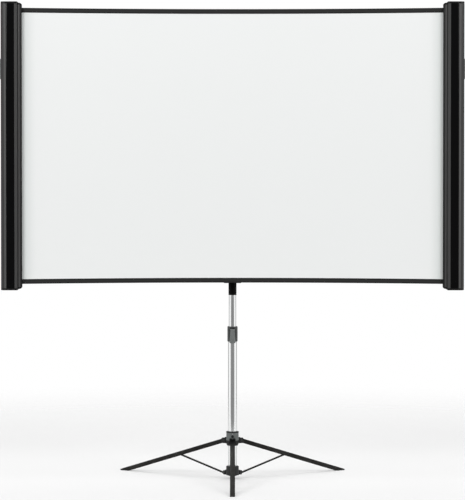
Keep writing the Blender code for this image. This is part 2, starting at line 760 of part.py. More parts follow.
def pivot_hole(name, x, z):
    """A cutter for a pivot's hole through both layers of arms."""
    front, back = SHEET_Y + OUTER_ARM_FRONT, SHEET_Y + INNER_ARM_FRONT + ARM_THICKNESS
    return rod(name, hole_radius(PIVOT_RADIUS), (x, front - OVERRUN, z), (x, back + OVERRUN, z))


def make_inner_arm(name, side, arm_z):
    """The arm from a block to the elbow, with the elbow's pin riveted into it."""
    pivot_x, elbow_x = side * BLOCK_PIVOT, side * (BLOCK_PIVOT + ARM_LENGTH)
    outline = stadium(*sorted(((pivot_x, arm_z), (elbow_x, arm_z))), ARM_HEIGHT / 2)
    front = SHEET_Y + INNER_ARM_FRONT
    arm = prism(name, outline, front, front + ARM_THICKNESS, FRONT_PLANE, (pivot_x, front, arm_z))
    pin_front = SHEET_Y + OUTER_ARM_FRONT - GAP
    pin = rod(
        f"{name}_pin",
        PIVOT_RADIUS,
        (elbow_x, pin_front - PIVOT_HEAD / 2, arm_z),
        (elbow_x, front + ARM_THICKNESS / 2, arm_z),
    )
    head = rod(
        f"{name}_head",
        PIVOT_HEAD_RADIUS,
        (elbow_x, pin_front - PIVOT_HEAD, arm_z),
        (elbow_x, pin_front, arm_z),
    )
    hole = pivot_hole(f"{name}_hole", pivot_x, arm_z)
    return coloured(cut(joined(arm, pin, head), hole), "aluminium")


def make_outer_arm(name, side, arm_z):
    """The arm from the elbow to a housing."""
    elbow_x, end_x = side * (BLOCK_PIVOT + ARM_LENGTH), side * SCREEN_HALF_SPAN
    outline = stadium(*sorted(((elbow_x, arm_z), (end_x, arm_z))), ARM_HEIGHT / 2)
    front = SHEET_Y + OUTER_ARM_FRONT
    arm = prism(name, outline, front, front + ARM_THICKNESS, FRONT_PLANE, (elbow_x, front, arm_z))
    holes = [pivot_hole(f"{name}_{end}_hole", x, arm_z) for end, x in (("elbow", elbow_x), ("end", end_x))]
    return coloured(cut(arm, *holes), "aluminium")


def make_block(name, foot, top, arm_z):
    """A block on the post with the pivots of a left and a right arm."""
    half = BLOCK_WIDTH / 2
    outline = rounded([
        (-half, foot, BLOCK_CORNER),
        (half, foot, BLOCK_CORNER),
        (half, top, BLOCK_CORNER),
        (-half, top, BLOCK_CORNER),
    ])
    front = SHEET_Y + BLOCK_FRONT
    block = prism(name, outline, front, front + BLOCK_DEPTH, FRONT_PLANE)
    head_back = SHEET_Y + INNER_ARM_FRONT - GAP
    head_front = head_back - PIVOT_HEAD
    head_middle = head_back - PIVOT_HEAD / 2
    tools = []
    for word, x in (("left", -BLOCK_PIVOT), ("right", BLOCK_PIVOT)):
        pin = rod(f"{name}_pin_{word}", PIVOT_RADIUS, (x, head_middle, arm_z), (x, front + OVERRUN, arm_z))
        head = rod(f"{name}_head_{word}", PIVOT_HEAD_RADIUS, (x, head_front, arm_z), (x, head_back, arm_z))
        tools += [pin, head]
    bore = upright(f"{name}_bore", POST_RADIUS + GAP, foot - OVERRUN, top + OVERRUN)
    return coloured(cut(joined(block, *tools), bore), "black_plastic")


def ring_profile(outer, inner, foot, top):
    return [(outer, top), (outer, foot), (inner, foot), (inner, top)]


def make_post():
    profile = ring_profile(POST_RADIUS, POST_RADIUS - POST_WALL, POST_FOOT, UPPER_BLOCK_TOP + POST_CROWN)
    return coloured(turned("centre_post", profile, (0, MAST_Y)), "tube_bright")


def make_arms():
    for level, arm_z in (("lower", LOWER_ARM_Z), ("upper", UPPER_ARM_Z)):
        for word, side in (("left", -1), ("right", 1)):
            make_inner_arm(f"{level}_inner_arm_{word}", side, arm_z)
            make_outer_arm(f"{level}_outer_arm_{word}", side, arm_z)
    make_block("lower_block", HEAD_TOP + GAP, LOWER_BLOCK_TOP, LOWER_ARM_Z)
    make_block("upper_block", UPPER_BLOCK_TOP - UPPER_BLOCK_HEIGHT, UPPER_BLOCK_TOP, UPPER_ARM_Z)
    make_post()


# Mast

def make_mast():
    axis = (0, MAST_Y)
    lower_bore = LOWER_TUBE_RADIUS - TUBE_WALL
    upper_bore = UPPER_TUBE_RADIUS - TUBE_WALL
    lower_tube = ring_profile(LOWER_TUBE_RADIUS, lower_bore, LOWER_TUBE_FOOT, LOWER_TUBE_TOP)
    coloured(turned("lower_tube", lower_tube, axis), "tube_bright")
    upper_top = HEAD_FOOT + HEAD_TUBE_DEPTH - GAP
    upper_tube = ring_profile(UPPER_TUBE_RADIUS, upper_bore, UPPER_TUBE_FOOT, upper_top)
    coloured(turned("upper_tube", upper_tube, axis), "tube_bright")
    tube_seat = UPPER_TUBE_RADIUS + GAP
    post_seat = POST_RADIUS + GAP
    step_z = HEAD_FOOT + HEAD_TUBE_DEPTH
    head = [
        (HEAD_RADIUS - HEAD_EDGE, HEAD_TOP),
        (HEAD_RADIUS, HEAD_TOP - HEAD_EDGE),
        (HEAD_RADIUS, HEAD_FOOT + HEAD_EDGE),
        (HEAD_RADIUS - HEAD_EDGE / 2, HEAD_FOOT),
        (tube_seat, HEAD_FOOT),
        (tube_seat, step_z),
        (post_seat, step_z),
        (post_seat, HEAD_TOP),
    ]
    coloured(turned("mast_head", head, axis), "black_plastic")
    bush_top = UPPER_TUBE_FOOT - GAP
    bush = [
        (upper_bore - GAP, bush_top + BUSH_INSERT),
        (upper_bore - GAP, bush_top),
        (lower_bore - GAP, bush_top),
        (lower_bore - GAP, bush_top - BUSH_HEIGHT),
        (BUSH_BORE, bush_top - BUSH_HEIGHT),
        (BUSH_BORE, bush_top + BUSH_INSERT),
    ]
    coloured(turned("sliding_bush", bush, axis), "black_plastic")
    plug_top = LOWER_TUBE_FOOT - GAP
    plug = [
        (lower_bore - GAP, plug_top + PLUG_INSERT),
        (lower_bore - GAP, plug_top),
        (LOWER_TUBE_RADIUS, plug_top),
        (LOWER_TUBE_RADIUS, plug_top - PLUG_FLANGE),
        (PLUG_BORE, plug_top - PLUG_FLANGE),
        (PLUG_BORE, plug_top + PLUG_INSERT),
    ]
    coloured(turned("tube_plug", plug, axis), "black_plastic")


def make_lock():
    """The flip lock: a collar on the lower tube, a lever in its boss and the lever's pin."""
    axis = (0, MAST_Y)
    tube_seat, slide_bore = LOWER_TUBE_RADIUS + GAP, UPPER_TUBE_RADIUS + GAP
    step_z = LOWER_TUBE_TOP + GAP
    profile = [
        (LOCK_RADIUS - LOCK_EDGE, LOCK_TOP),
        (LOCK_RADIUS, LOCK_TOP - LOCK_EDGE),
        (LOCK_RADIUS, LOCK_FOOT + LOCK_EDGE),
        (LOCK_RADIUS - LOCK_EDGE, LOCK_FOOT),
        (slide_bore / 2, LOCK_FOOT),
        (slide_bore / 2, LOCK_TOP),
    ]
    collar = turned("lock_collar", profile, axis)
    face_y = MAST_Y - LOCK_BOSS_REACH
    half = LOCK_BOSS_WIDTH / 2
    boss_foot, boss_top = LOCK_FOOT + LOCK_BOSS_MARGIN, LOCK_TOP - LOCK_BOSS_MARGIN
    boss = prism(
        "lock_collar_boss",
        rounded([
            (-half, boss_foot, LOCK_EDGE),
            (half, boss_foot, LOCK_EDGE),
            (half, boss_top, LOCK_BOSS_CORNER),
            (-half, boss_top, LOCK_BOSS_CORNER),
        ]),
        face_y,
        MAST_Y - LOCK_BOSS_BACK,
        FRONT_PLANE,
    )
    bore = upright("lock_collar_bore", tube_seat, LOCK_FOOT - OVERRUN, step_z)
    slide = upright("lock_collar_slide", slide_bore, step_z - OVERRUN, LOCK_TOP + OVERRUN)
    eye_y = face_y + LEVER_EYE_SETBACK
    pocket_half = LEVER_EYE_WIDTH / 2 + GAP
    pocket_foot, pocket_top = LEVER_EYE_Z - POCKET_BELOW_EYE, LEVER_EYE_Z + POCKET_ABOVE_EYE
    pocket = prism(
        "lock_collar_pocket",
        rounded([
            (-pocket_half, pocket_foot, 0),
            (pocket_half, pocket_foot, 0),
            (pocket_half, pocket_top, POCKET_CORNER),
            (-pocket_half, pocket_top, POCKET_CORNER),
        ]),
        face_y - OVERRUN,
        eye_y + LEVER_EYE_RADIUS + GAP,
        FRONT_PLANE,
    )
    pin_hole = level_bar("lock_collar_pin_hole", hole_radius(LEVER_PIN_RADIUS), half + OVERRUN, eye_y)
    coloured(cut(joined(collar, boss), bore, slide, pocket, pin_hole), "black_plastic")
    coloured(level_bar("lever_pin", LEVER_PIN_RADIUS, half - LOCK_EDGE, eye_y), "steel")
    make_lever(face_y, eye_y)


def level_bar(name, radius, reach, y, steps=PIN_STEPS):
    """A round bar along the axis of the lever's eye."""
    return rod(name, radius, (-reach, y, LEVER_EYE_Z), (reach, y, LEVER_EYE_Z), steps=steps)


def make_lever(face_y, eye_y):
    """The flip lock's lever: a tapered plate on the boss's face with an eye in its pocket."""
    origin = (0, eye_y, LEVER_EYE_Z)
    outline = rounded([
        (-LEVER_FOOT_WIDTH / 2, LEVER_FOOT, LEVER_THICKNESS),
        (LEVER_FOOT_WIDTH / 2, LEVER_FOOT, LEVER_THICKNESS),
        (LEVER_WIDTH / 2, LEVER_EYE_Z, LEVER_THICKNESS),
        (-LEVER_WIDTH / 2, LEVER_EYE_Z, LEVER_THICKNESS),
    ])
    back = face_y - GAP
    lever = prism("lock_lever", outline, back - LEVER_THICKNESS, back, FRONT_PLANE, origin)
    half_eye = LEVER_EYE_WIDTH / 2
    eye = level_bar("lock_lever_eye", LEVER_EYE_RADIUS, half_eye, eye_y, ROUND_STEPS)
    web = box(
        "lock_lever_web",
        (-half_eye, back - LEVER_THICKNESS / 2, LEVER_EYE_Z - LEVER_EYE_RADIUS),
        (half_eye, eye_y, LEVER_EYE_Z),
    )
    hole = level_bar("lock_lever_hole", hole_radius(LEVER_PIN_RADIUS), LOCK_BOSS_WIDTH, eye_y)
    coloured(cut(joined(lever, eye, web), hole), "grey_plastic")


# Tripod, drawn in a leg's own frame: X outwards from the mast, Z up

def leg_slope():
    """How steeply a leg falls, so that its underside meets the floor where the foot's flat begins."""
    run = FOOT_REACH - FOOT_FLAT - LEG_PIVOT_RADIUS
    return math.atan2(HUB_PIVOT_Z, run) - math.asin(LEG_DEPTH / 2 / math.hypot(run, HUB_PIVOT_Z))


def leg_turn():
    """From a leg lying level along X, its pivot at the origin, to its place."""
    pivot = Matrix.Translation((LEG_PIVOT_RADIUS, 0, HUB_PIVOT_Z))
    return pivot @ Matrix.Rotation(leg_slope(), 4, "Y")


def leg_length():
    """From the hub's pivot to the face of the foot plate."""
    return (FOOT_REACH - LEG_PIVOT_RADIUS) * math.cos(leg_slope()) + HUB_PIVOT_Z * math.sin(leg_slope())


def across(name, reach, radius, pivot, origin=(0, 0, 0)):
    """A round bar across a leg's frame, through a pivot (x, z), that reaches as far to both sides."""
    x, z = pivot
    return rod(name, radius, (x, -reach, z), (x, reach, z), origin)


def make_leg():
    """A channel open below, with a round root and its tip cut level."""
    turn = leg_turn()
    channel_end = leg_length() - FOOT_PLATE - GAP
    half = LEG_DEPTH / 2
    root = stadium((0, 0), (LEG_DEPTH, 0), half)
    root_arc = [point for point in root if point[0] <= LEG_DEPTH / 4]
    outline = root_arc + [(channel_end, -half), (channel_end, half)]
    pivot = (LEG_PIVOT_RADIUS, 0, HUB_PIVOT_Z)
    leg = prism("leg", outline, -LEG_WIDTH / 2, LEG_WIDTH / 2, FRONT_PLANE, pivot, turn)
    inside = LEG_WIDTH / 2 - LEG_WALL
    hollow = box(
        "leg_hollow",
        (-LEG_DEPTH, -inside, -LEG_DEPTH),
        (channel_end + OVERRUN, inside, half - LEG_WALL),
        pivot,
        turn,
    )
    floor = box(
        "leg_floor",
        (0, -LEG_WIDTH, -LEG_DEPTH),
        (FOOT_REACH + LEG_WIDTH, LEG_WIDTH, SOLE_THICKNESS + GAP),
        pivot,
    )
    hub_hole = across("leg_hub_hole", LEG_WIDTH, hole_radius(HUB_PIN_RADIUS), HUB_PIVOT, pivot)
    strut_hole = across("leg_strut_hole", LEG_WIDTH, hole_radius(STRUT_PIN_RADIUS), STRUT_PIVOT, pivot)
    return settled(cut(leg, hollow, floor, hub_hole, strut_hole))


def make_foot():
    """A rubber foot: a plug in the channel, a plate over its end and a level sole."""
    turn = leg_turn()
    length = leg_length()
    half, side = LEG_DEPTH / 2, LEG_WIDTH / 2
    pivot = (LEG_PIVOT_RADIUS, 0, HUB_PIVOT_Z)
    start = length - FOOT_PLATE - FOOT_PLUG
    inside = side - LEG_WALL - GAP
    reach = FOOT_REACH + LEG_WIDTH
    foot = box("foot", (start, -side, -half), (length, side, half), pivot, turn)
    shell = box(
        "foot_shell",
        (start - OVERRUN, -side - OVERRUN, -half - OVERRUN),
        (length - FOOT_PLATE, side + OVERRUN, half + OVERRUN),
        pivot,
        turn,
    )
    above = box("foot_above", (0, -LEG_WIDTH, SOLE_THICKNESS), (reach, LEG_WIDTH, HUB_PIVOT_Z), pivot)
    core = box(
        "foot_core",
        (start - 2 * OVERRUN, -inside, -half - 2 * OVERRUN),
        (length + OVERRUN, inside, half - LEG_WALL - GAP),
        pivot,
        turn,
    )
    cut(crossed(shell, above), core)
    below = box("foot_below", (0, -LEG_WIDTH, -LEG_DEPTH * 2), (reach, LEG_WIDTH, 0), pivot)
    cut(foot, shell, below)
    obj = settled(foot)
    for tool in (above, core):
        bpy.data.objects.remove(tool)
    return obj


def make_strut():
    outline = stadium(COLLAR_PIVOT, STRUT_PIVOT, STRUT_HEIGHT / 2)
    origin = (LEG_PIVOT_RADIUS, 0, COLLAR_PIVOT_Z)
    strut = prism("strut", outline, -STRUT_WIDTH / 2, STRUT_WIDTH / 2, FRONT_PLANE, origin)
    radius = hole_radius(STRUT_PIN_RADIUS)
    near_hole = across("strut_near_hole", STRUT_WIDTH, radius, COLLAR_PIVOT, origin)
    far_hole = across("strut_far_hole", STRUT_WIDTH, radius, STRUT_PIVOT, origin)
    return settled(cut(strut, near_hole, far_hole))


def make_cross_pin(name, radius, reach, pivot):
    """A pin across the leg with a head at each end."""
    x, z = pivot
    origin = (x, 0, z)
    pin = across(name, reach + RIVET_HEAD / 2, radius, pivot, origin)
    heads = []
    for word, side in (("near", -1), ("far", 1)):
        start, end = (x, side * reach, z), (x, side * (reach + RIVET_HEAD), z)
        heads.append(rod(f"{name}_head_{word}", RIVET_HEAD_RADIUS, start, end, origin))
    return settled(joined(pin, *heads))


def stand_frames():
    """An empty on the mast's axis for each leg, turned to the leg's direction."""
    frames = {}
    for word, degrees in LEG_DIRECTIONS.items():
        frame = bpy.data.objects.new(f"{word}_leg_frame", None)
        frame.location = (0, MAST_Y, 0)
        frame.rotation_euler = (0, 0, math.radians(degrees))
        PARTS.objects.link(frame)
        frames[word] = frame
    bpy.context.view_layer.update()
    return frames


def copied_round(template, frames, finish):
    """One copy of a piece for each leg, with a shared mesh, and the template removed."""
    name = template.name
    coloured(template, finish)
    for word, frame in frames.items():
        copy = bpy.data.objects.new(f"{name}_{word}", template.data)
        copy.location = template.location
        copy.parent = frame
        PARTS.objects.link(copy)
    bpy.data.objects.remove(template)


def eared(name, profile, frames, ear_low, ear_high, slot_low, slot_high):
    """A turned body with three slotted ears."""
    body = turned(name, profile, (0, 0))
    body.location = (0, MAST_Y, 0)
    ears, slots = [], []
    for word, frame in frames.items():
        ear = edged(box(f"{name}_ear_{word}", ear_low, ear_high), HUB_EDGE)
        slot = box(f"{name}_slot_{word}", slot_low, slot_high)
        for tool in (ear, slot):
            tool.parent = frame
        ears.append(ear)
        slots.append(slot)
    return joined(body, *ears), slots


def make_hub(frames):
    """The hub that slides on the lower tube, with a fork for each leg, and its clamp knob."""
    bore = LOWER_TUBE_RADIUS + GAP
    profile = [
        (HUB_RADIUS - HUB_EDGE, HUB_TOP),
        (HUB_RADIUS + HUB_LIP_GROWTH, HUB_TOP - HUB_EDGE),
        (HUB_RADIUS + HUB_LIP_GROWTH, HUB_TOP - HUB_LIP),
        (HUB_RADIUS, HUB_TOP - HUB_LIP - HUB_EDGE),
        (HUB_RADIUS, HUB_EAR_FOOT),
        (HUB_WAIST_RADIUS, HUB_FOOT),
        (bore / 2, HUB_FOOT),
        (bore / 2, HUB_TOP),
    ]
    half, slot_half = HUB_EAR_WIDTH / 2, LEG_WIDTH / 2 + GAP
    hub, slots = eared(
        "hub",
        profile,
        frames,
        (LOWER_TUBE_RADIUS, -half, HUB_EAR_FOOT),
        (HUB_EAR_REACH, half, HUB_EAR_TOP),
        (HUB_SLOT_START, -slot_half, HUB_FOOT - OVERRUN),
        (HUB_EAR_REACH + OVERRUN, slot_half, HUB_EAR_TOP + OVERRUN),
    )
    holes = []
    for word, frame in frames.items():
        hole = across(f"hub_hole_{word}", LEG_WIDTH, hole_radius(HUB_PIN_RADIUS), HUB_PIVOT)
        hole.parent = frame
        holes.append(hole)
    tube_bore = upright("hub_bore", bore, HUB_FOOT - OVERRUN, HUB_TOP + OVERRUN)
    knob_back = MAST_Y - HUB_RADIUS - GAP
    stem_hole = rod(
        "hub_stem_hole",
        hole_radius(KNOB_STEM_RADIUS),
        (0, knob_back - OVERRUN, KNOB_Z),
        (0, MAST_Y, KNOB_Z),
    )
    coloured(cut(hub, *slots, *holes, tube_bore, stem_hole), "grey_plastic")
    back = (0, knob_back, KNOB_Z)
    face = (0, knob_back - KNOB_LENGTH, KNOB_Z)
    knob = rod("hub_knob", KNOB_RADIUS, face, back, back, ROUND_STEPS)
    stem = rod(
        "hub_knob_stem",
        KNOB_STEM_RADIUS,
        (0, knob_back - KNOB_LENGTH / 2, KNOB_Z),
        (0, MAST_Y - LOWER_TUBE_RADIUS - GAP, KNOB_Z),
        back,
    )
    coloured(joined(edged(knob, HUB_EDGE / 2), stem), "black_plastic")


def make_collar(frames):
    """The fixed collar at the mast's foot, with a fork and a pin for each strut."""
    bore = LOWER_TUBE_RADIUS + GAP
    profile = [
        (COLLAR_RADIUS - COLLAR_EDGE, COLLAR_TOP),
        (COLLAR_RADIUS, COLLAR_TOP - COLLAR_EDGE),
        (COLLAR_RADIUS, COLLAR_FOOT),
        (bore / 2, COLLAR_FOOT),
        (bore / 2, COLLAR_TOP),
    ]
    half, slot_half = COLLAR_EAR_WIDTH / 2, STRUT_WIDTH / 2 + GAP
    collar, slots = eared(
        "lower_collar",
        profile,
        frames,
        (LOWER_TUBE_RADIUS, -half, COLLAR_FOOT + GAP),
        (COLLAR_EAR_REACH, half, COLLAR_EAR_TOP),
        (COLLAR_SLOT_START, -slot_half, COLLAR_FOOT - OVERRUN),
        (COLLAR_EAR_REACH + OVERRUN, slot_half, COLLAR_TOP),
    )
    pins = []
    for word, frame in frames.items():
        pin = across(f"lower_collar_pin_{word}", half - HUB_EDGE, STRUT_PIN_RADIUS, COLLAR_PIVOT)
        pin.parent = frame
        pins.append(pin)
    tube_bore = upright("lower_collar_bore", bore, COLLAR_FOOT - OVERRUN, COLLAR_TOP + OVERRUN)
    coloured(joined(cut(collar, *slots, tube_bore), *pins), "black_plastic")


def make_tripod():
    frames = stand_frames()
    copied_round(make_leg(), frames, "leg_black")
    copied_round(make_foot(), frames, "rubber")
    copied_round(make_strut(), frames, "leg_black")
    hub_pin = make_cross_pin("hub_pin", HUB_PIN_RADIUS, HUB_EAR_WIDTH / 2 + GAP, HUB_PIVOT)
    copied_round(hub_pin, frames, "steel")
    rivet = make_cross_pin("strut_rivet", STRUT_PIN_RADIUS, LEG_WIDTH / 2 + GAP, STRUT_PIVOT)
    copied_round(rivet, frames, "steel")
    make_hub(frames)
    make_collar(frames)


make_sheet()
make_housings()
make_arms()
make_mast()
make_lock()
make_tripod()
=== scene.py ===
"""Looks of the portable projection screen: its pieces, their finishes, the stage and the camera.

Metres, +Z up. The viewer stands on the -Y side, and the pieces lie where the frame's nodes are.
"""
import json
import math

import bmesh
import bpy
from mathutils import Matrix, Vector


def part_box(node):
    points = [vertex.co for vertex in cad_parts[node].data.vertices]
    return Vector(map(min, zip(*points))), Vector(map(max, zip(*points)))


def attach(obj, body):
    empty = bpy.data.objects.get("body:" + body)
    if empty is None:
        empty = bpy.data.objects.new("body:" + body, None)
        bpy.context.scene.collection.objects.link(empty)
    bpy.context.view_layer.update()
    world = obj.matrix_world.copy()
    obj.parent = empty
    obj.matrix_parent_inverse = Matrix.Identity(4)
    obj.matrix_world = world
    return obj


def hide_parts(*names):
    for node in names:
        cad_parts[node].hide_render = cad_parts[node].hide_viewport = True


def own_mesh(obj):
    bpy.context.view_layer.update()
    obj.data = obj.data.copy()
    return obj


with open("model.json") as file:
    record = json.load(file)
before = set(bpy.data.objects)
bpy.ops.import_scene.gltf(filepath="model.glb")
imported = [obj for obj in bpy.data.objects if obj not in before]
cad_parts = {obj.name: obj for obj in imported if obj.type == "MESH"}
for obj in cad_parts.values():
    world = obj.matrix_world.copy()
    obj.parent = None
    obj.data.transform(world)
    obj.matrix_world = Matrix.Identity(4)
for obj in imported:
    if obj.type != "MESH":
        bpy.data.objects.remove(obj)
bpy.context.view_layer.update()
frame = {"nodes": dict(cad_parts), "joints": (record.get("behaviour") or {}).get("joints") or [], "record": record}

SIDES = {"right": 1, "left": -1}


# Places, read from the frame

def joint_place(name):
    """The point on a hinge's axis."""
    return Vector(next(joint["pos_m"] for joint in frame["joints"] if joint["name"] == name))


def middle(node):
    low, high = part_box(node)
    return (low + high) / 2


def half_width(node):
    low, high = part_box(node)
    return (high.x - low.x) / 2


MAST = middle("lower_tube").xy
SHEET_Y = middle("projection_sheet").y
SPAN = middle("roller_right").x
SHEET_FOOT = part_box("lower_border")[0].z
SHEET_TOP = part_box("upper_border")[1].z


# Shapes

WELD = 0.00001  # points this close are one
SHARP_ANGLE = math.radians(35)


def added(name, data):
    """A new object in the scene."""
    obj = bpy.data.objects.new(name, data)
    bpy.context.scene.collection.objects.link(obj)
    return obj


def made(name, bm):
    """A new object with a shape's mesh."""
    mesh = bpy.data.meshes.new(name)
    bm.to_mesh(mesh)
    bm.free()
    return added(name, mesh)


def bevelled(bm, geom, width, segments, affect="VERTICES"):
    bmesh.ops.bevel(
        bm, geom=geom, offset=width, segments=segments, profile=0.5, affect=affect, material=-1
    )


def slab(low, high, soft=0.0, segments=3):
    """A box between two corners with softened edges."""
    low, high = Vector(low), Vector(high)
    bm = bmesh.new()
    bmesh.ops.create_cube(bm, size=1)
    bmesh.ops.scale(bm, vec=high - low, verts=bm.verts)
    bmesh.ops.translate(bm, vec=(low + high) / 2, verts=bm.verts)
    return softened(bm, soft, segments)


def softened(bm, width, segments=3, angle=30, keep=None):
    """The shape with its sharp edges rounded, or those of them that keep() picks."""
    bm.normal_update()
    edges = [
        edge for edge in bm.edges
        if edge.is_manifold and edge.calc_face_angle() > math.radians(angle) and (keep is None or keep(edge))
    ]
    if width and edges:
        bevelled(bm, edges, width, segments, "EDGES")
    return bm


def on_face(axis, place):
    """Picks the edges that lie in a flat face, from its axis and its place on it."""
    return lambda edge: all(abs(vert.co[axis] - place) < WELD for vert in edge.verts)


def rod(start, end, radius, far_radius=None, steps=32, soft=0.0):
    """A round bar from one point to another."""
    start, end = Vector(start), Vector(end)
    along = end - start
    bm = bmesh.new()
    far_radius = radius if far_radius is None else far_radius
    bmesh.ops.create_cone(
        bm, cap_ends=True, segments=steps, radius1=radius, radius2=far_radius, depth=along.length
    )
    softened(bm, soft, 3, 50)
    turn = Vector((0, 0, 1)).rotation_difference(along).to_matrix().to_4x4()
    bmesh.ops.transform(bm, matrix=Matrix.Translation((start + end) / 2) @ turn, verts=bm.verts)
    return bm


def turned(profile, soft, steps=96):
    """A ring turned about the mast's axis from the corners (radius, z) of its section."""
    bm = bmesh.new()
    verts = [bm.verts.new((radius, 0, z)) for radius, z in profile]
    for i, vert in enumerate(verts):
        bm.edges.new((verts[i - 1], vert))
    bevelled(bm, verts, soft, 3)
    geom = list(bm.verts) + list(bm.edges)
    bmesh.ops.spin(
        bm, geom=geom, cent=(0, 0, 0), axis=(0, 0, 1), angle=2 * math.pi, steps=steps, use_merge=True
    )
    bmesh.ops.remove_doubles(bm, verts=bm.verts, dist=WELD)
    bmesh.ops.translate(bm, vec=(*MAST, 0), verts=bm.verts)
    bmesh.ops.recalc_face_normals(bm, faces=bm.faces)
    return bm


def outlined(corners, segments=8):
    """A flat face from corners (x, y, radius), each rounded by its radius."""
    bm = bmesh.new()
    verts = [bm.verts.new((x, y, 0)) for x, y, _ in corners]
    bm.faces.new(verts)
    for vert, (_, _, radius) in zip(verts, corners):
        if radius:
            bevelled(bm, [vert], radius, segments)
    return bm


def tablet(x, z, rounds, segments=8):
    """An outline of four corners, with a rounding at its first edge and one at its far edge."""
    (left, right), (start, end), (near, far) = x, z, rounds
    corners = [(left, start, near), (right, start, near), (right, end, far), (left, end, far)]
    return outlined(corners, segments)


def raised(bm, low, high, upright=False, soft=0.0):
    """A flat face given a thickness, along Z, or along Y where its outline is drawn in X and Z."""
    grown = bmesh.ops.extrude_face_region(bm, geom=bm.faces[:])
    tops = [item for item in grown["geom"] if isinstance(item, bmesh.types.BMVert)]
    bmesh.ops.translate(bm, vec=(0, 0, high - low), verts=tops)
    bmesh.ops.translate(bm, vec=(0, 0, low), verts=bm.verts)
    if upright:
        turn = Matrix(((1, 0, 0, 0), (0, 0, 1, 0), (0, 1, 0, 0), (0, 0, 0, 1)))
        bmesh.ops.transform(bm, matrix=turn, verts=bm.verts)
    bmesh.ops.recalc_face_normals(bm, faces=bm.faces)
    return softened(bm, soft, 3, 50)


def gathered(*shapes):
    """Several shapes in one."""
    whole = shapes[0]
    for shape in shapes[1:]:
        mesh = bpy.data.meshes.new("gathered")
        shape.to_mesh(mesh)
        shape.free()
        whole.from_mesh(mesh)
        bpy.data.meshes.remove(mesh)
    return whole


def copied(node, soft=0.0, segments=2, keep=None):
    """A merged copy of a node's mesh with its sharp edges softened."""
    bm = bmesh.new()
    bm.from_mesh(frame["nodes"][node].data)
    bmesh.ops.remove_doubles(bm, verts=bm.verts, dist=WELD)
    flat = math.radians(0.5)
    bmesh.ops.dissolve_limit(bm, angle_limit=flat, verts=bm.verts, edges=bm.edges)
    return softened(bm, soft, segments, 50, keep)


def carved(bm, *tools):
    """A closed shape with closed tools cut out of it."""
    cutters = [made("carving", shape) for shape in (bm, *tools)]
    whole = cutters[0]
    for tool in cutters[1:]:
        modifier = whole.modifiers.new("Carving", "BOOLEAN")
        modifier.object = tool
        modifier.operation = "DIFFERENCE"
    bpy.context.view_layer.update()
    result = bpy.data.meshes.new_from_object(whole.evaluated_get(bpy.context.evaluated_depsgraph_get()))
    for obj in cutters:
        mesh = obj.data
        bpy.data.objects.remove(obj)
        bpy.data.meshes.remove(mesh)
    bm = bmesh.new()
    bm.from_mesh(result)
    bpy.data.meshes.remove(result)
    bmesh.ops.remove_doubles(bm, verts=bm.verts, dist=WELD / 2)
    return bm


def moved(bm, matrix):
    bmesh.ops.transform(bm, matrix=matrix, verts=bm.verts)
    if matrix.determinant() < 0:
        bmesh.ops.reverse_faces(bm, faces=bm.faces)
    return bm


def on_side(bm, side):
    """A shape drawn for the right side, or its mirror image for the left."""
    return bm if side > 0 else moved(bm, Matrix.Scale(-1, 4, (1, 0, 0)))


def piece(name, bm, finish, body, *nodes):
    """A named piece with its finish, on a body, that stands for nodes."""
    obj = made(name, bm)
    obj.data.shade_smooth()
    obj.data.set_sharp_from_angle(angle=SHARP_ANGLE)
    obj.data.materials.append(finish)
    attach(obj, body)
    if nodes:
        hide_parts(*nodes)
    return obj


# Finishes

class Value:
    """A shader socket that takes part in arithmetic."""

    def __init__(self, finish, socket):
        self.finish = finish
        self.socket = socket

    def maths(self, operation, *others):
        return self.finish.add("Math", self, *others, operation=operation)

    def __add__(self, other):
        return self.maths("ADD", other)

    def __sub__(self, other):
        return self.maths("SUBTRACT", other)

    def __rsub__(self, other):
        return self.finish.add("Math", other, self, operation="SUBTRACT")

    def __mul__(self, other):
        return self.maths("MULTIPLY", other)

    __radd__ = __add__
    __rmul__ = __mul__


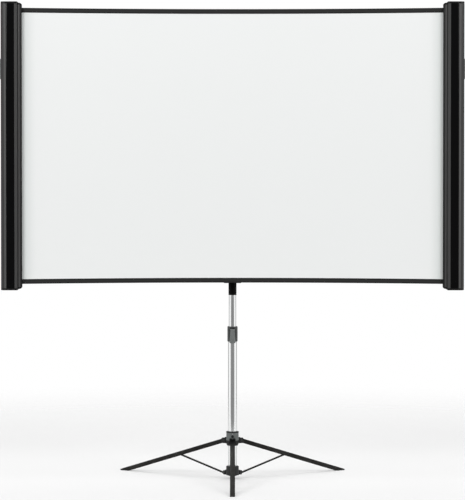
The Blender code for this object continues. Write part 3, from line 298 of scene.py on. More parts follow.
class Finish:
    """A material in the making, on a Principled shader."""

    def __init__(self, name, colour, roughness, **plain):
        self.material = bpy.data.materials.new(name)
        self.material.use_nodes = True
        self.tree = self.material.node_tree
        self.shader = self.tree.nodes["Principled BSDF"]
        self.feed("Base Color", (*colour, 1))
        self.feed("Roughness", roughness)
        for socket, value in plain.items():
            self.feed(socket.replace("_", " "), value)

    def feed(self, socket, value, node=None):
        """Sets a socket, by its name or number, or links it."""
        target = (node or self.shader).inputs[socket]
        if isinstance(value, Value):
            self.tree.links.new(value.socket, target)
        else:
            target.default_value = value

    def add(self, kind, *values, out=0, sockets=None, **settings):
        """A node's output, from the values or links of its first sockets, or of those that are named."""
        node = self.tree.nodes.new(f"ShaderNode{kind}")
        for setting, value in settings.items():
            setattr(node, setting, value)
        for socket, value in (*enumerate(values), *(sockets or {}).items()):
            self.feed(socket, value, node)
        return Value(self, node.outputs[out])

    def along(self, axis):
        """The distance from the origin along an axis."""
        return self.add("SeparateXYZ", self.add("TexCoord", out="Object"), out=axis)

    def noise(self, scale, stretch=(1, 1, 1), detail=3.0):
        """Cloudy values from 0 to 1, scale of them to the metre, stretched along the axes."""
        spot = self.add("TexCoord", out="Object")
        spot = self.add("Mapping", sockets={"Vector": spot, "Scale": stretch})
        return self.add("TexNoise", sockets={"Vector": spot, "Scale": scale, "Detail": detail})

    def ramp(self, value, low, high, start=0.0, end=1.0):
        """From start to end, smoothly, as a value goes from low to high."""
        return self.add("MapRange", value, low, high, start, end, interpolation_type="SMOOTHSTEP")

    def tinted(self, mask, first, second):
        """The base colour, mixed from two by a mask."""
        mix = self.add(
            "Mix", out=2, sockets={0: mask, 6: (*first, 1), 7: (*second, 1)}, data_type="RGBA"
        )
        self.feed("Base Color", mix)

    def rough(self, value):
        self.feed("Roughness", value)

    def bumped(self, height, depth, strength=1.0):
        """Relief of a height from 0 to 1, depth metres deep."""
        relief = self.add("Bump", sockets={"Height": height, "Distance": depth, "Strength": strength})
        self.feed("Normal", relief)
        return self


NO_COLOUR = (0, 0, 0)
HOUSING_GREY = (0.135, 0.134, 0.133)
BARREL_SHEEN_GREY = (0.14, 0.15, 0.147)
FORK_BLACK = (0.011, 0.0115, 0.011)
ENAMEL_BLACK = (0.028, 0.0272, 0.0255)
SHEET_WHITE = (0.845, 0.858, 0.853)
SHEET_PAINTED_SHADE = (0.70, 0.73, 0.715)
BORDER_EDGE = (0.004, 0.004, 0.004)
BORDER_PAINTED_HIGHLIGHT = (0.012, 0.0125, 0.0115)
RUBBER_DARK = (0.01, 0.01, 0.01)
RUBBER_PALE = (0.022, 0.021, 0.02)


def drawn_metal(name, colour, roughness, metallic, lines, along=2, streak=0.14, shade=None):
    """Metal with fine lines along one axis, and paler where shade() is 1; shade() paints light and shade into its
    colour.
    """
    finish = Finish(name, colour, roughness, Metallic=metallic)
    stretch = [lines] * 3
    stretch[along] = lines / 160
    grain = finish.noise(1.0, stretch)
    cloud = finish.noise(9.0)
    finish.rough(roughness - 0.05 + 0.14 * grain * cloud)
    mask = 1.0 - streak * finish.ramp(grain, 0.65, 0.35)
    if shade:
        mask = mask * shade(finish)
    finish.tinted(mask, NO_COLOUR, colour)
    return finish.bumped(grain, 0.00002, 3.5 * streak).material


# Shares of the colour that the parts of a finish keep, and the places where one turns into the next

# Painted highlight on the housing: the rounded side keeps the least of the colour, and the flat front face is
# painted paler, most of all outside the gloss strip.
ROUND_SHADE = 0.24  # the housing's rounded side
FACE_PAINTED_HIGHLIGHT = 0.36  # what its front face adds to that
OUTER_PAINTED_HIGHLIGHT = 0.30  # and what the flat outside the gloss strip adds
FACE_BLEND = (0.0006, 0.0001)
OUTER_BLEND = 0.010
# Painted shadow: the jamb's inner lip is nearly black, where the gap beside the sheet lies in shade, and its front
# ends are as dark.
LIP_SHADE = 0.03
JAMB_SHADE = 0.55
LIP_BLEND = (0.0032, 0.0044)
JAMB_END_BLEND = (0.007, 0.008)
BEHIND_BLEND = 0.004
# Painted sheen on the hub: grey on the barrel's outer skin between these heights, black elsewhere.
HUB_FOOT_BLEND = (0.021, 0.0225)
HUB_LIP_BLEND = (-0.0045, -0.0056)
HUB_SKIN_BLEND = (0.0268, 0.0262)
# Painted shadow on the legs near the hub, deepest on the front leg, which lies in the hub's shade.
FRONT_LEG_BLEND = (0.012, 0.030)
LEG_START_BLEND = (0.07, 0.20)
# Painted shade on the sheet beside the housings.
SHEET_EDGE_BLEND = (-0.105, -0.035)
THREADS = 1150.0  # of the sheet and its borders, to the metre


def blend(finish, value, place, distances):
    """From 0 to 1 between two distances from a place."""
    return finish.ramp(value, place + distances[0], place + distances[1])


def painted_front_highlight(finish):
    """Painted highlight: the housing's front face is paler than its rounded side, most of all on the flat outside
    the gloss strip, standing in for the light it reflects.
    """
    flat = blend(finish, finish.along("Y"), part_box("housing_right")[0].y, FACE_BLEND)
    outer = blend(finish, from_middle(finish), SPAN, (0.0, OUTER_BLEND))
    return ROUND_SHADE + flat * (FACE_PAINTED_HIGHLIGHT + OUTER_PAINTED_HIGHLIGHT * outer)


def on_jamb(finish):
    """A black lip on the jamb's inner edge, a painted shadow where the gap beside the sheet lies in shade, and
    black on its ends, at the front.
    """
    low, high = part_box("jamb_right")
    height = finish.along("Z")
    inner = blend(finish, from_middle(finish), low.x, LIP_BLEND)
    foot = blend(finish, height, low.z, JAMB_END_BLEND)
    top = finish.ramp(height, high.z - JAMB_END_BLEND[0], high.z - JAMB_END_BLEND[1])
    behind = blend(finish, finish.along("Y"), SHEET_Y, (0.0, BEHIND_BLEND))
    return LIP_SHADE + JAMB_SHADE * inner * (foot * top).maths("MAXIMUM", behind)


def from_middle(finish):
    """The distance to either side of the mast."""
    return finish.along("X").maths("ABSOLUTE")


def from_mast(finish):
    """The distance from the mast's axis."""
    across, along = finish.along("X"), finish.along("Y") - MAST.y
    return (across * across + along * along).maths("SQRT")


def moulded(name, colour, roughness, grain=1400.0, depth=0.00005, shine=0.5):
    """Moulded plastic with a fine spark texture and slightly uneven gloss."""
    finish = Finish(name, colour, roughness, Specular_IOR_Level=shine)
    texture = finish.noise(grain, detail=2.0)
    cloud = finish.noise(35.0)
    finish.rough(roughness - 0.08 + 0.16 * cloud)
    lighter = tuple(channel * 1.25 + 0.002 for channel in colour)
    finish.tinted(finish.ramp(texture, 0.4, 0.75), colour, lighter)
    return finish.bumped(texture, depth).material


def hub_plastic():
    """Black plastic with a painted sheen: the barrel's outer skin is painted grey where light falls on it, while
    its lip and its forks stay black.
    """
    finish = Finish("hub_plastic", BARREL_SHEEN_GREY, 0.48, Specular_IOR_Level=0.2)
    low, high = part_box("hub")
    height = finish.along("Z")
    # painted sheen: grey only on the barrel's outer skin
    barrel = blend(finish, height, low.z, HUB_FOOT_BLEND) * blend(finish, height, high.z, HUB_LIP_BLEND)
    barrel = barrel * blend(finish, from_mast(finish), 0.0, HUB_SKIN_BLEND)
    finish.tinted(barrel, FORK_BLACK, BARREL_SHEEN_GREY)
    finish.rough(0.42 + 0.14 * finish.noise(35.0))
    return finish.bumped(finish.noise(1400.0, detail=2.0), 0.00005).material


def glossy_black():
    """Clear gloss with a little dust in it."""
    finish = Finish("gloss_black", (0.0018, 0.0018, 0.002), 0.07, Specular_IOR_Level=0.12)
    cloud = finish.noise(6.0, (1, 1, 0.4))
    dust = finish.noise(420.0)
    finish.rough(0.05 + 0.05 * cloud + 0.05 * finish.ramp(dust, 0.62, 0.8))
    return finish.bumped(cloud, 0.00012, 0.35).material


def enamel():
    """Black enamel on the legs, with a faint orange peel, random blotches, and painted shadow near the hub,
    darkest on the front leg's start.
    """
    finish = Finish("leg_enamel", (0.012, 0.012, 0.011), 0.46, Specular_IOR_Level=0.05)
    peel = finish.noise(420.0, detail=1.0)
    cloud = finish.noise(22.0)
    finish.rough(0.34 + 0.14 * cloud)
    # painted shadow: dark near the mast on the front leg, a little darker there on the others
    aside = finish.ramp(from_middle(finish), *FRONT_LEG_BLEND, 0.0, 0.85)
    start = finish.ramp(from_mast(finish), *LEG_START_BLEND, 0.02, 1.0).maths("MAXIMUM", aside)
    blotches_and_painted_shade = finish.ramp(cloud, 0.35, 0.7, 0.6, 1.0) * start
    finish.tinted(blotches_and_painted_shade, NO_COLOUR, ENAMEL_BLACK)
    return finish.bumped(peel, 0.00006, 0.6).material


def screen_white():
    """The matte white coating on a woven ground, with painted shade where the sheet runs into the housings."""
    finish = Finish("screen_white", (0.84, 0.85, 0.845), 0.88, Specular_IOR_Level=0.2)
    # painted shade: greyer towards the housings
    inset = blend(finish, from_middle(finish), SPAN, SHEET_EDGE_BLEND)
    weave = woven(finish)
    grain = finish.noise(60.0, detail=5.0)
    finish.tinted(inset, SHEET_WHITE, SHEET_PAINTED_SHADE)
    finish.rough(0.84 + 0.08 * grain)
    return finish.bumped(weave + 0.5 * grain, 0.00004, 0.5).material


def woven(finish):
    """A plain weave in X and Z."""
    across, along = (finish.along(axis) * (THREADS * math.pi) for axis in ("X", "Z"))
    return (across.maths("SINE") * along.maths("SINE")) * 0.5 + 0.5


def border_black():
    """Matte black coating, with a painted highlight a shade lighter along the middle of the strip."""
    finish = Finish("border_black", (0.008, 0.008, 0.008), 0.62, Specular_IOR_Level=0.35)
    strip = finish.add("SeparateXYZ", finish.add("UVMap", uv_map="strip"), out="Y")
    # painted highlight along the middle of the strip
    line = finish.ramp(strip, 0.15, 0.45) * finish.ramp(strip, 0.9, 0.55)
    finish.tinted(line, BORDER_EDGE, BORDER_PAINTED_HIGHLIGHT)
    return finish.bumped(woven(finish), 0.00005, 0.6).material


def rubber():
    """Matte rubber with a coarse grain."""
    finish = Finish("rubber", (0.012, 0.012, 0.012), 0.75)
    grain = finish.noise(300.0)
    finish.rough(0.7 + 0.2 * finish.noise(40.0))
    finish.tinted(finish.ramp(grain, 0.4, 0.7), RUBBER_DARK, RUBBER_PALE)
    return finish.bumped(grain, 0.0001, 0.5).material


ANODISED = drawn_metal("anodised_grey", HOUSING_GREY, 0.42, 0.55, 1600.0, shade=painted_front_highlight)
JAMB_GREY = drawn_metal("jamb_grey", HOUSING_GREY, 0.42, 0.55, 1600.0, shade=on_jamb)
GLOSS = glossy_black()
CAP = moulded("cap_black", (0.0035, 0.0035, 0.0035), 0.4, shine=0.25)
WHITE = screen_white()
BORDER = border_black()
CHROME = drawn_metal("tube_bright", (0.80, 0.81, 0.81), 0.16, 1.0, 900.0, streak=0.04)
STEEL = drawn_metal("pin_steel", (0.56, 0.56, 0.57), 0.30, 1.0, 1500.0)
DARK_STEEL = drawn_metal("pin_dark_steel", (0.06, 0.06, 0.06), 0.42, 1.0, 1500.0)
ALUMINIUM = drawn_metal("arm_aluminium", (0.62, 0.62, 0.63), 0.38, 1.0, 1200.0, along=0)
BLACK = moulded("moulded_black", (0.009, 0.0095, 0.0092), 0.42, shine=0.3)
DEEP_BLACK = moulded("moulded_deep_black", (0.002, 0.002, 0.002), 0.42, shine=0.06)
SOFT_BLACK = moulded("moulded_soft_black", (0.042, 0.045, 0.044), 0.5, shine=0.4)
GREY = moulded("moulded_grey", (0.135, 0.145, 0.142), 0.5)
HUB_GREY = hub_plastic()
LEG = enamel()
RUBBER = rubber()

NODE_FINISHES = {
    "housing": ANODISED,
    "jamb_grey": JAMB_GREY,
    "gloss_black": GLOSS,
    "cap_black": CAP,
    "white_sheet": WHITE,
    "black_border": BORDER,
    "tube_bright": CHROME,
    "steel": STEEL,
    "aluminium": ALUMINIUM,
    "black_plastic": BLACK,
    "grey_plastic": GREY,
    "leg_black": LEG,
    "rubber": RUBBER,
}


def dress_nodes():
    """Every node that stays gets the finish of its slot."""
    for subpart in frame["record"]["subparts"]:
        node = frame["nodes"][subpart["node"]]
        node.data.materials.clear()
        node.data.materials.append(NODE_FINISHES[subpart["material_slot"]])


dress_nodes()


# Sheet and borders

BOW = 0.006
BORDER_HEIGHT = 0.0195
BORDER_LAP = 0.003  # the white runs this far under the black
SHEET_THICKNESS = 0.0003
BORDER_THICKNESS = 0.0005


def edge_height(x, height, inward):
    """A long edge of the sheet, which draws in towards the middle of its length."""
    return height + inward * BOW * (1 - (x / SPAN) ** 2)


def strip(name, finish, low, low_inward, high, high_inward, thickness, rows):
    """A stretched strip of the sheet between two bowed edges."""
    bm = bmesh.new()
    bmesh.ops.create_grid(bm, x_segments=96, y_segments=rows, size=0.5)
    flat = bm.loops.layers.uv.new("strip")
    for face in bm.faces:
        for loop in face.loops:
            loop[flat].uv = (loop.vert.co.x + 0.5, loop.vert.co.y + 0.5)
    for vert in bm.verts:
        x, share = vert.co.x * 2 * SPAN, vert.co.y + 0.5
        foot, top = edge_height(x, low, low_inward), edge_height(x, high, high_inward)
        vert.co = (x, SHEET_Y, foot + share * (top - foot))
    bmesh.ops.recalc_face_normals(bm, faces=bm.faces)
    obj = piece(f"{name}_cloth", bm, finish, "screen_frame", name)
    obj.data.shade_flat()
    wall = obj.modifiers.new("Thickness", "SOLIDIFY")
    wall.thickness = thickness
    wall.offset = 0
    draw = 2 * BOW / 3 * (low_inward - high_inward)
    high - low
    2 * SPAN * (high - low - draw) if draw > 0 else None
    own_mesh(obj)


def make_sheet():
    """The white sheet with its two black borders."""
    foot, top = SHEET_FOOT + BORDER_HEIGHT, SHEET_TOP - BORDER_HEIGHT
    strip("projection_sheet", WHITE, foot - BORDER_LAP, 1, top + BORDER_LAP, -1, SHEET_THICKNESS, 48)
    strip("lower_border", BORDER, SHEET_FOOT, 1, foot, 1, BORDER_THICKNESS, 3)
    strip("upper_border", BORDER, top, -1, SHEET_TOP, -1, BORDER_THICKNESS, 3)


make_sheet()


# Housings, drawn for the right side

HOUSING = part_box("housing_right")
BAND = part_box("front_band_right")
WALL = 0.0022
SEAM = 0.0003
SLIT = 0.005
SLIT_MARGIN = 0.006
BAND_RECESS = 0.0014
BAND_SHOULDER = 0.0012
OUTER_ROUND = 0.018
INNER_ROUND = 0.005
CAP_THICKNESS = 0.008
CAP_EDGE = 0.0022
CAP_STEP = 0.0014
CAP_INSET = 0.0005  # the shadow line's depth
PLUG_DEPTH = 0.006
BAND_EDGE = 0.0008
BAND_ROUND = 0.0004
FLUTE = 0.0085
FLUTE_DEPTH = 0.0016
JAMB_CORNER = 0.010
JAMB_FRONT_ROUND = 0.0020
JAMB_BACK_ROUND = 0.0040
CREASE = 0.0003
GRIP_RIB = 0.0012
GRIP_RIBS = 13
GRIP_RIM = 0.0035
GRIP_ROUND = 0.0011
RIB_ROUND = 0.0009
LUG_WIDTH = 0.024
LUG = 0.0017
LUG_REACH = 0.010  # past the arm's pivot
PIN = 0.004
PIN_HEAD = 0.0014
PIN_HEAD_RADIUS = 0.0062
SCREW_RADIUS = 0.0036
SCREW_HEAD = 0.0012
SCREW_INSET = 0.016  # from the housing's front or back
SCREW_OFFSET = 0.010  # outwards from the roller's axis
PROUD = 0.00005  # a head that is level still stands out this far


def housing_outline(inset=0.0):
    """The corners of a housing's section without the band's recess, drawn in by inset."""
    low, high = HOUSING
    return [
        (low.x + inset, low.y + inset, INNER_ROUND - inset),
        (high.x - inset, low.y + inset, OUTER_ROUND - inset),
        (high.x - inset, high.y - inset, OUTER_ROUND - inset),
        (low.x + inset, high.y - inset, INNER_ROUND - inset),
    ]


def slit_tool(start, end, soft=0.0):
    """What is cut out for the sheet, between two places along X."""
    return slab(
        (start, SHEET_Y - SLIT / 2, SHEET_FOOT - SLIT_MARGIN),
        (end, SHEET_Y + SLIT / 2, SHEET_TOP + SLIT_MARGIN),
        soft,
        segments=2,
    )


def make_shell(word, side):
    """The extruded body, hollow for the roller and slit along its inner face for the sheet."""
    low, high = HOUSING
    near, far = BAND[0].x - SEAM, BAND[1].x + SEAM
    crease = BAND_SHOULDER / 3
    corners = housing_outline()
    corners[1:1] = [
        (near - BAND_SHOULDER, low.y, crease),
        (near, low.y + BAND_RECESS, 0),
        (far, low.y + BAND_RECESS, 0),
        (far + BAND_SHOULDER, low.y, crease),
    ]
    body = raised(outlined(corners, 12), low.z, high.z)
    hollow = raised(outlined(housing_outline(WALL), 12), low.z - WALL, high.z + WALL)
    slit = slit_tool(low.x - WALL, low.x + 2 * WALL)
    bm = on_side(carved(body, hollow, slit), side)
    piece(f"housing_{word}_shell", bm, ANODISED, f"housing_{word}", f"housing_{word}")


def make_band(word, side):
    """The gloss strip, its face a shallow crown from edge to edge."""
    low, high = BAND
    centre, half = (low.x + high.x) / 2, (high.x - low.x) / 2
    edge_y = high.y - BAND_EDGE
    bm = tablet((low.x, high.x), (edge_y, high.y), (0, 0))
    front = [edge for edge in bm.edges if all(vert.co.y < edge_y + WELD for vert in edge.verts)]
    bmesh.ops.subdivide_edges(bm, edges=front, cuts=31)
    for vert in bm.verts:
        if vert.co.y < edge_y + WELD:
            vert.co.y -= (edge_y - low.y) * (1 - ((vert.co.x - centre) / half) ** 2)
    bm = raised(bm, low.z, high.z)
    back = high.y - BAND_ROUND / 2
    softened(bm, BAND_ROUND, 2, 40, lambda edge: all(vert.co.y < back for vert in edge.verts))
    piece(f"front_band_{word}_gloss", on_side(bm, side), GLOSS, f"housing_{word}", f"front_band_{word}")


def make_jamb(word, side):
    """The fluted mouth of the housing, with the slit that the sheet runs through."""
    low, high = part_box("jamb_right")
    width, depth = high.x - low.x, high.y - low.y
    middle_x = (low.x + high.x) / 2
    profile = outlined([
        (low.x, low.y, JAMB_FRONT_ROUND),
        (middle_x - FLUTE / 2, low.y, CREASE),
        (middle_x, low.y + FLUTE_DEPTH * 2, FLUTE / 2.2),
        (middle_x + FLUTE / 2, low.y, CREASE),
        (high.x, low.y, CREASE / 1.5),
        (high.x, high.y, CREASE / 1.5),
        (low.x, high.y, JAMB_BACK_ROUND),
    ])
    bar = raised(profile, low.z, high.z)
    tools = [slit_tool(low.x - width, high.x + width, 0.0004)]
    corner_x = low.x + JAMB_CORNER
    for edge_z, inward in ((low.z, JAMB_CORNER), (high.z, -JAMB_CORNER)):
        arc_z = edge_z + inward
        arc = rod((corner_x, low.y - depth, arc_z), (corner_x, high.y + depth, arc_z), JAMB_CORNER, steps=64)
        block_low, block_high = sorted((edge_z - inward, arc_z))
        block = slab(
            (low.x - JAMB_CORNER, low.y - depth / 2, block_low),
            (corner_x, high.y + depth / 2, block_high),
        )
        tools.append(carved(block, arc))
    bm = carved(bar, *tools)
    piece(f"jamb_{word}_bar", on_side(bm, side), JAMB_GREY, f"housing_{word}", f"jamb_{word}")


def make_grip(word, side):
    """A ribbed pad on the housing's outer face."""
    low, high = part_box("side_grip_right")
    base = slab(low, (high.x - GRIP_RIB, high.y, high.z), GRIP_ROUND)
    first = low.z + 2 * GRIP_RIM
    pitch = (high.z - low.z - 4 * GRIP_RIM) / (GRIP_RIBS - 1)
    ribs = [
        slab(
            (high.x - 2 * GRIP_RIB, low.y + GRIP_RIM, first + step * pitch - GRIP_RIB),
            (high.x, high.y - GRIP_RIM, first + step * pitch + GRIP_RIB),
            RIB_ROUND,
        )
        for step in range(GRIP_RIBS)
    ]
    bm = on_side(gathered(base, *ribs), side)
    piece(f"side_grip_{word}_pad", bm, CAP, f"housing_{word}", f"side_grip_{word}")


def make_cap(word, side, level):
    """An end cap with a shadow line at its joint, its plug, and the lug and pin of an arm."""
    low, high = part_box(f"{level}_cap_right")
    sign, face = (1, high.z) if level == "top" else (-1, low.z)
    joint, under = face - sign * CAP_THICKNESS, face - sign * CAP_EDGE
    plate = raised(outlined(housing_outline(), 14), *sorted((face, joint + sign * CAP_STEP)))
    softened(plate, CAP_EDGE, 5, 60, on_face(2, face))
    step = raised(outlined(housing_outline(CAP_INSET), 14), *sorted((under, joint)))
    plug_z = sorted((joint - sign * PLUG_DEPTH, under))
    plug = raised(outlined(housing_outline(WALL + SEAM), 14), *plug_z)
    arm = middle(f"{'upper' if sign > 0 else 'lower'}_outer_arm_right").z
    back, half = HOUSING[1].y, LUG_WIDTH / 2
    bridge = slab(
        (SPAN - half, back - CAP_THICKNESS, min(under, joint)),
        (SPAN + half, back + SEAM + LUG, max(under, joint)),
        soft=0.0004,
    )
    toe = arm - sign * LUG_REACH
    lug = tablet((SPAN - half, SPAN + half), (under, toe), (0.001, half * 0.8))
    lug = raised(lug, back + SEAM, back + SEAM + LUG, upright=True, soft=CREASE)
    cap = gathered(plate, step, plug, bridge, lug)
    body = f"housing_{word}"
    piece(f"{level}_cap_{word}_moulding", on_side(cap, side), CAP, body, f"{level}_cap_{word}")
    pin_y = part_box("upper_outer_arm_right")[1].y + SEAM
    pin = gathered(
        rod((SPAN, back + SEAM, arm), (SPAN, pin_y + PIN_HEAD / 2, arm), PIN),
        rod((SPAN, pin_y, arm), (SPAN, pin_y + PIN_HEAD, arm), PIN_HEAD_RADIUS, steps=48, soft=0.0005),
    )
    piece(f"{level}_cap_{word}_pin", on_side(pin, side), STEEL, body)
    for where, y in (("front", HOUSING[0].y + SCREW_INSET), ("back", HOUSING[1].y - SCREW_INSET)):
        screw = on_side(screw_head((SPAN + SCREW_OFFSET, y, face), sign), side)
        piece(f"{level}_cap_{word}_screw_{where}", screw, STEEL, body)


def screw_head(spot, sign):
    """A countersunk screw's head, level with the face it sits in, with a cross recess."""
    x, y, z = spot
    head = rod((x, y, z - sign * SCREW_HEAD), (x, y, z + sign * PROUD), SCREW_RADIUS, steps=32, soft=0.0002)
    reach, width, depth = SCREW_RADIUS * 0.62, SCREW_RADIUS * 0.14, SCREW_HEAD * 0.8
    bars = [
        slab((x - a, y - b, z - depth), (x + a, y + b, z + depth))
        for a, b in ((reach, width), (width, reach))
    ]
    return carved(head, *bars)


for word, side in SIDES.items():
    make_shell(word, side)
    make_band(word, side)
    make_jamb(word, side)
    make_grip(word, side)
    make_cap(word, side, "top")
    make_cap(word, side, "bottom")


# Arms, blocks and post, behind the sheet

ARM = 0.010  # the bars' half height, and the inner bars' depth
GROOVE_END = 0.022
GROOVE_DEPTH = 0.0012
GROOVE_HALF = 0.0048
PIVOT = 0.0043
BLOCK_DEPTH = 0.028
BLOCK_ROUND = 0.006
POCKET_RIM = 0.008
POCKET_DEPTH = 0.003
BOLT = 0.0042
BOLT_HEAD = 0.002
BOLT_INSET = 0.0065
TUBE_WALL = 0.0015
POST_PLUG = 0.012
TINY = 0.0004


def round_ended(low, high, across, half, steps=48):
    """A flat bar's outline with round ends about two points."""
    bm = bmesh.new()
    half_step = math.pi / steps
    bmesh.ops.create_circle(bm, cap_ends=True, segments=steps, radius=half / math.cos(half_step))
    bmesh.ops.rotate(bm, cent=(0, 0, 0), matrix=Matrix.Rotation(half_step, 3, "Z"), verts=bm.verts)
    bmesh.ops.translate(bm, vec=(high - low, 0, 0), verts=[vert for vert in bm.verts if vert.co.x > 0])
    bmesh.ops.translate(bm, vec=(low, across, 0), verts=bm.verts)
    return bm


def bar(start_x, end_x, z, front, back, holes):
    """A flat arm with round ends and a shallow groove along its back, drilled at its pivots."""
    low, high = sorted((start_x, end_x))
    arm = raised(round_ended(low, high, z, ARM), front, back, upright=True, soft=0.0009)
    groove = slab(
        (low + GROOVE_END, back - GROOVE_DEPTH, z - GROOVE_HALF),
        (high - GROOVE_END, back + GROOVE_DEPTH, z + GROOVE_HALF),
        soft=0.0006,
        segments=2,
    )
    drills = [rod((x, front - ARM, z), (x, back + ARM, z), PIVOT, steps=48) for x in holes]
    return carved(arm, groove, *drills)


def pivot_pin(x, z, head_y, far_y):
    """A pin whose domed head lies at head_y."""
    inward = 1 if far_y > head_y else -1
    shank = rod((x, head_y + inward * PIN_HEAD / 2, z), (x, far_y, z), PIN, steps=40)
    head = rod((x, head_y, z), (x, head_y + inward * PIN_HEAD, z), PIN_HEAD_RADIUS, steps=48, soft=0.0006)
    return gathered(shank, head)


def make_arm_pair(level, word, side):
    """An inner arm with its elbow pin, and the outer arm that turns on it."""
    inner, outer = f"{level}_inner_arm_right", f"{level}_outer_arm_right"
    low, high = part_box(outer)
    z = middle(outer).z
    elbow, end = low.x + ARM, high.x - ARM
    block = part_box(inner)[0].x + ARM
    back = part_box(inner)[1].y
    front = back - ARM
    body = f"{level}_inner_arm_{word}"
    piece(f"{body}_bar", on_side(bar(block, elbow, z, front, back, [block]), side), ALUMINIUM, body, body)
    pin = pivot_pin(elbow, z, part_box(inner)[0].y, front + ARM / 2)
    piece(f"{body}_elbow_pin", on_side(pin, side), STEEL, body)
    body = f"{level}_outer_arm_{word}"
    outer_bar = bar(elbow, end, z, low.y, high.y, [elbow, end])
    piece(f"{body}_bar", on_side(outer_bar, side), ALUMINIUM, body, body)


def make_block(level):
    """A moulded block on the post with a split clamp at its back and the arms' two pins in its front."""
    node = f"{level}_block"
    low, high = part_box(node)
    front = high.y - BLOCK_DEPTH
    width = high.x - low.x
    block = tablet((low.x, high.x), (low.z, high.z), (BLOCK_ROUND, BLOCK_ROUND))
    block = raised(block, front, high.y, upright=True, soft=0.0012)
    radius = half_width("centre_post") + SEAM
    bore = rod((*MAST, low.z - ARM), (*MAST, high.z + ARM), radius, steps=96)
    split = slab((-SEAM * 2, MAST.y + radius / 2, low.z - ARM), (SEAM * 2, high.y + ARM, high.z + ARM))
    pockets = [
        slab(
            (x - width * 0.13, high.y - POCKET_DEPTH, low.z + POCKET_RIM),
            (x + width * 0.13, high.y + POCKET_DEPTH, high.z - POCKET_RIM),
            soft=0.0012,
            segments=2,
        )
        for x in (low.x + width * 0.2, high.x - width * 0.2)
    ]
    piece(f"{node}_moulding", carved(block, bore, split, *pockets), BLACK, "screen_frame", node)
    arm_z = middle(f"{level}_outer_arm_right").z
    pivot_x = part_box(f"{level}_inner_arm_right")[0].x + ARM
    for word, side in SIDES.items():
        pin = pivot_pin(side * pivot_x, arm_z, low.y, front + ARM)
        piece(f"{node}_pin_{word}", pin, STEEL, "screen_frame")
    bolt_y, bolt_z = high.y - BOLT_INSET, middle(node).z
    for word, x, sign in (("left", low.x, -1), ("right", high.x, 1)):
        start, end = x - sign * BOLT_HEAD, x + sign * PROUD
        head = rod((start, bolt_y, bolt_z), (end, bolt_y, bolt_z), BOLT, steps=6)
        piece(f"{node}_bolt_{word}", softened(head, 0.0003, 2), STEEL, "screen_frame")


def make_tube(node, body, name, soft=0.0004):
    """A thin-walled tube, open at both ends."""
    low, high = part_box(node)
    outer = half_width(node)
    inner = outer - TUBE_WALL
    tube = turned([(outer, low.z), (outer, high.z), (inner, high.z), (inner, low.z)], soft=soft)
    piece(f"{node}_{name}", tube, CHROME, body, node)


def make_post():
    """The tube that the blocks are on, with a plug in its upper end."""
    make_tube("centre_post", "screen_frame", "tube", 0.0003)
    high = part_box("centre_post")[1].z
    edge = half_width("centre_post") - TUBE_WALL - 0.0001
    plug = turned([
        (edge, high - POST_PLUG),
        (edge, high - TINY),
        (TINY, high - TINY),
        (TINY, high - POST_PLUG),
    ], soft=0.0002)
    piece("centre_post_plug", plug, BLACK, "screen_frame")


for word, side in SIDES.items():
    for level in ("lower", "upper"):
        make_arm_pair(level, word, side)
make_block("lower")
make_block("upper")
make_post()


# Mast and flip lock

LOWER_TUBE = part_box("lower_tube")
UPPER_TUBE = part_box("upper_tube")
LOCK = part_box("lock_collar")
LOWER_RADIUS = half_width("lower_tube")
UPPER_RADIUS = half_width("upper_tube")
TUBE_SEAT = LOWER_RADIUS + SEAM
SLIDE_BORE = UPPER_RADIUS + SEAM
BUSH_WALL = 0.004
PLUG_HOLE = 0.005
HEAD_GROOVE = 0.006  # above the head's foot
LOCK_RADIUS = half_width("lock_collar")
LOCK_EDGE = 0.002
LOCK_STEP = LOWER_TUBE[1].z + SEAM
LOCK_SPLIT = 0.0006
BOSS_HALF = 0.015
BOSS_MARGIN = 0.0015
BOSS_ROUND = 0.012
EYE = joint_place("lever_flip")
EYE_RADIUS = 0.0042
EYE_HALF = 0.009
POCKET_BELOW, POCKET_ABOVE = 0.0084, 0.0085
LEVER_PIN = 0.0014
LEVER_PIN_HOLE = 0.0017
LEVER_THICKNESS = 0.0045
LEVER_TOP_HALF = 0.0085
FINGER_GROOVES = 4
FINGER_GROOVE = 0.0014
FINGER_PITCH = 0.0036
FINGER_START = 0.006
FINGER_PROUD = 0.0008  # the grooves' axes lie this far off the lever's face


def make_head():
    """The black sleeve that joins the mast to the centre post, with a groove near its foot."""
    low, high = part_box("mast_head")
    radius = half_width("mast_head")
    post_seat = half_width("centre_post") + SEAM
    step = UPPER_TUBE[1].z + SEAM
    groove, groove_z = 0.0006, low.z + HEAD_GROOVE
    head = turned([
        (radius - groove, low.z),
        (radius, low.z + groove),
        (radius, groove_z - groove),
        (radius - groove, groove_z),
        (radius - groove, groove_z + groove),
        (radius, groove_z + 2 * groove),
        (radius, high.z - 2 * groove),
        (radius - 2 * groove, high.z),
        (post_seat, high.z),
        (post_seat, step),
        (SLIDE_BORE, step),
        (SLIDE_BORE, low.z),
    ], soft=0.0002)
    piece("mast_head_sleeve", head, DEEP_BLACK, "upper_mast", "mast_head")


def stepped(levels, radii, soft):
    """A ring with one step on its outside."""
    (low, step, high), (outer, inner, bore) = levels, radii
    corners = [(outer, low), (outer, step), (inner, step), (inner, high), (bore, high), (bore, low)]
    return turned(corners, soft)


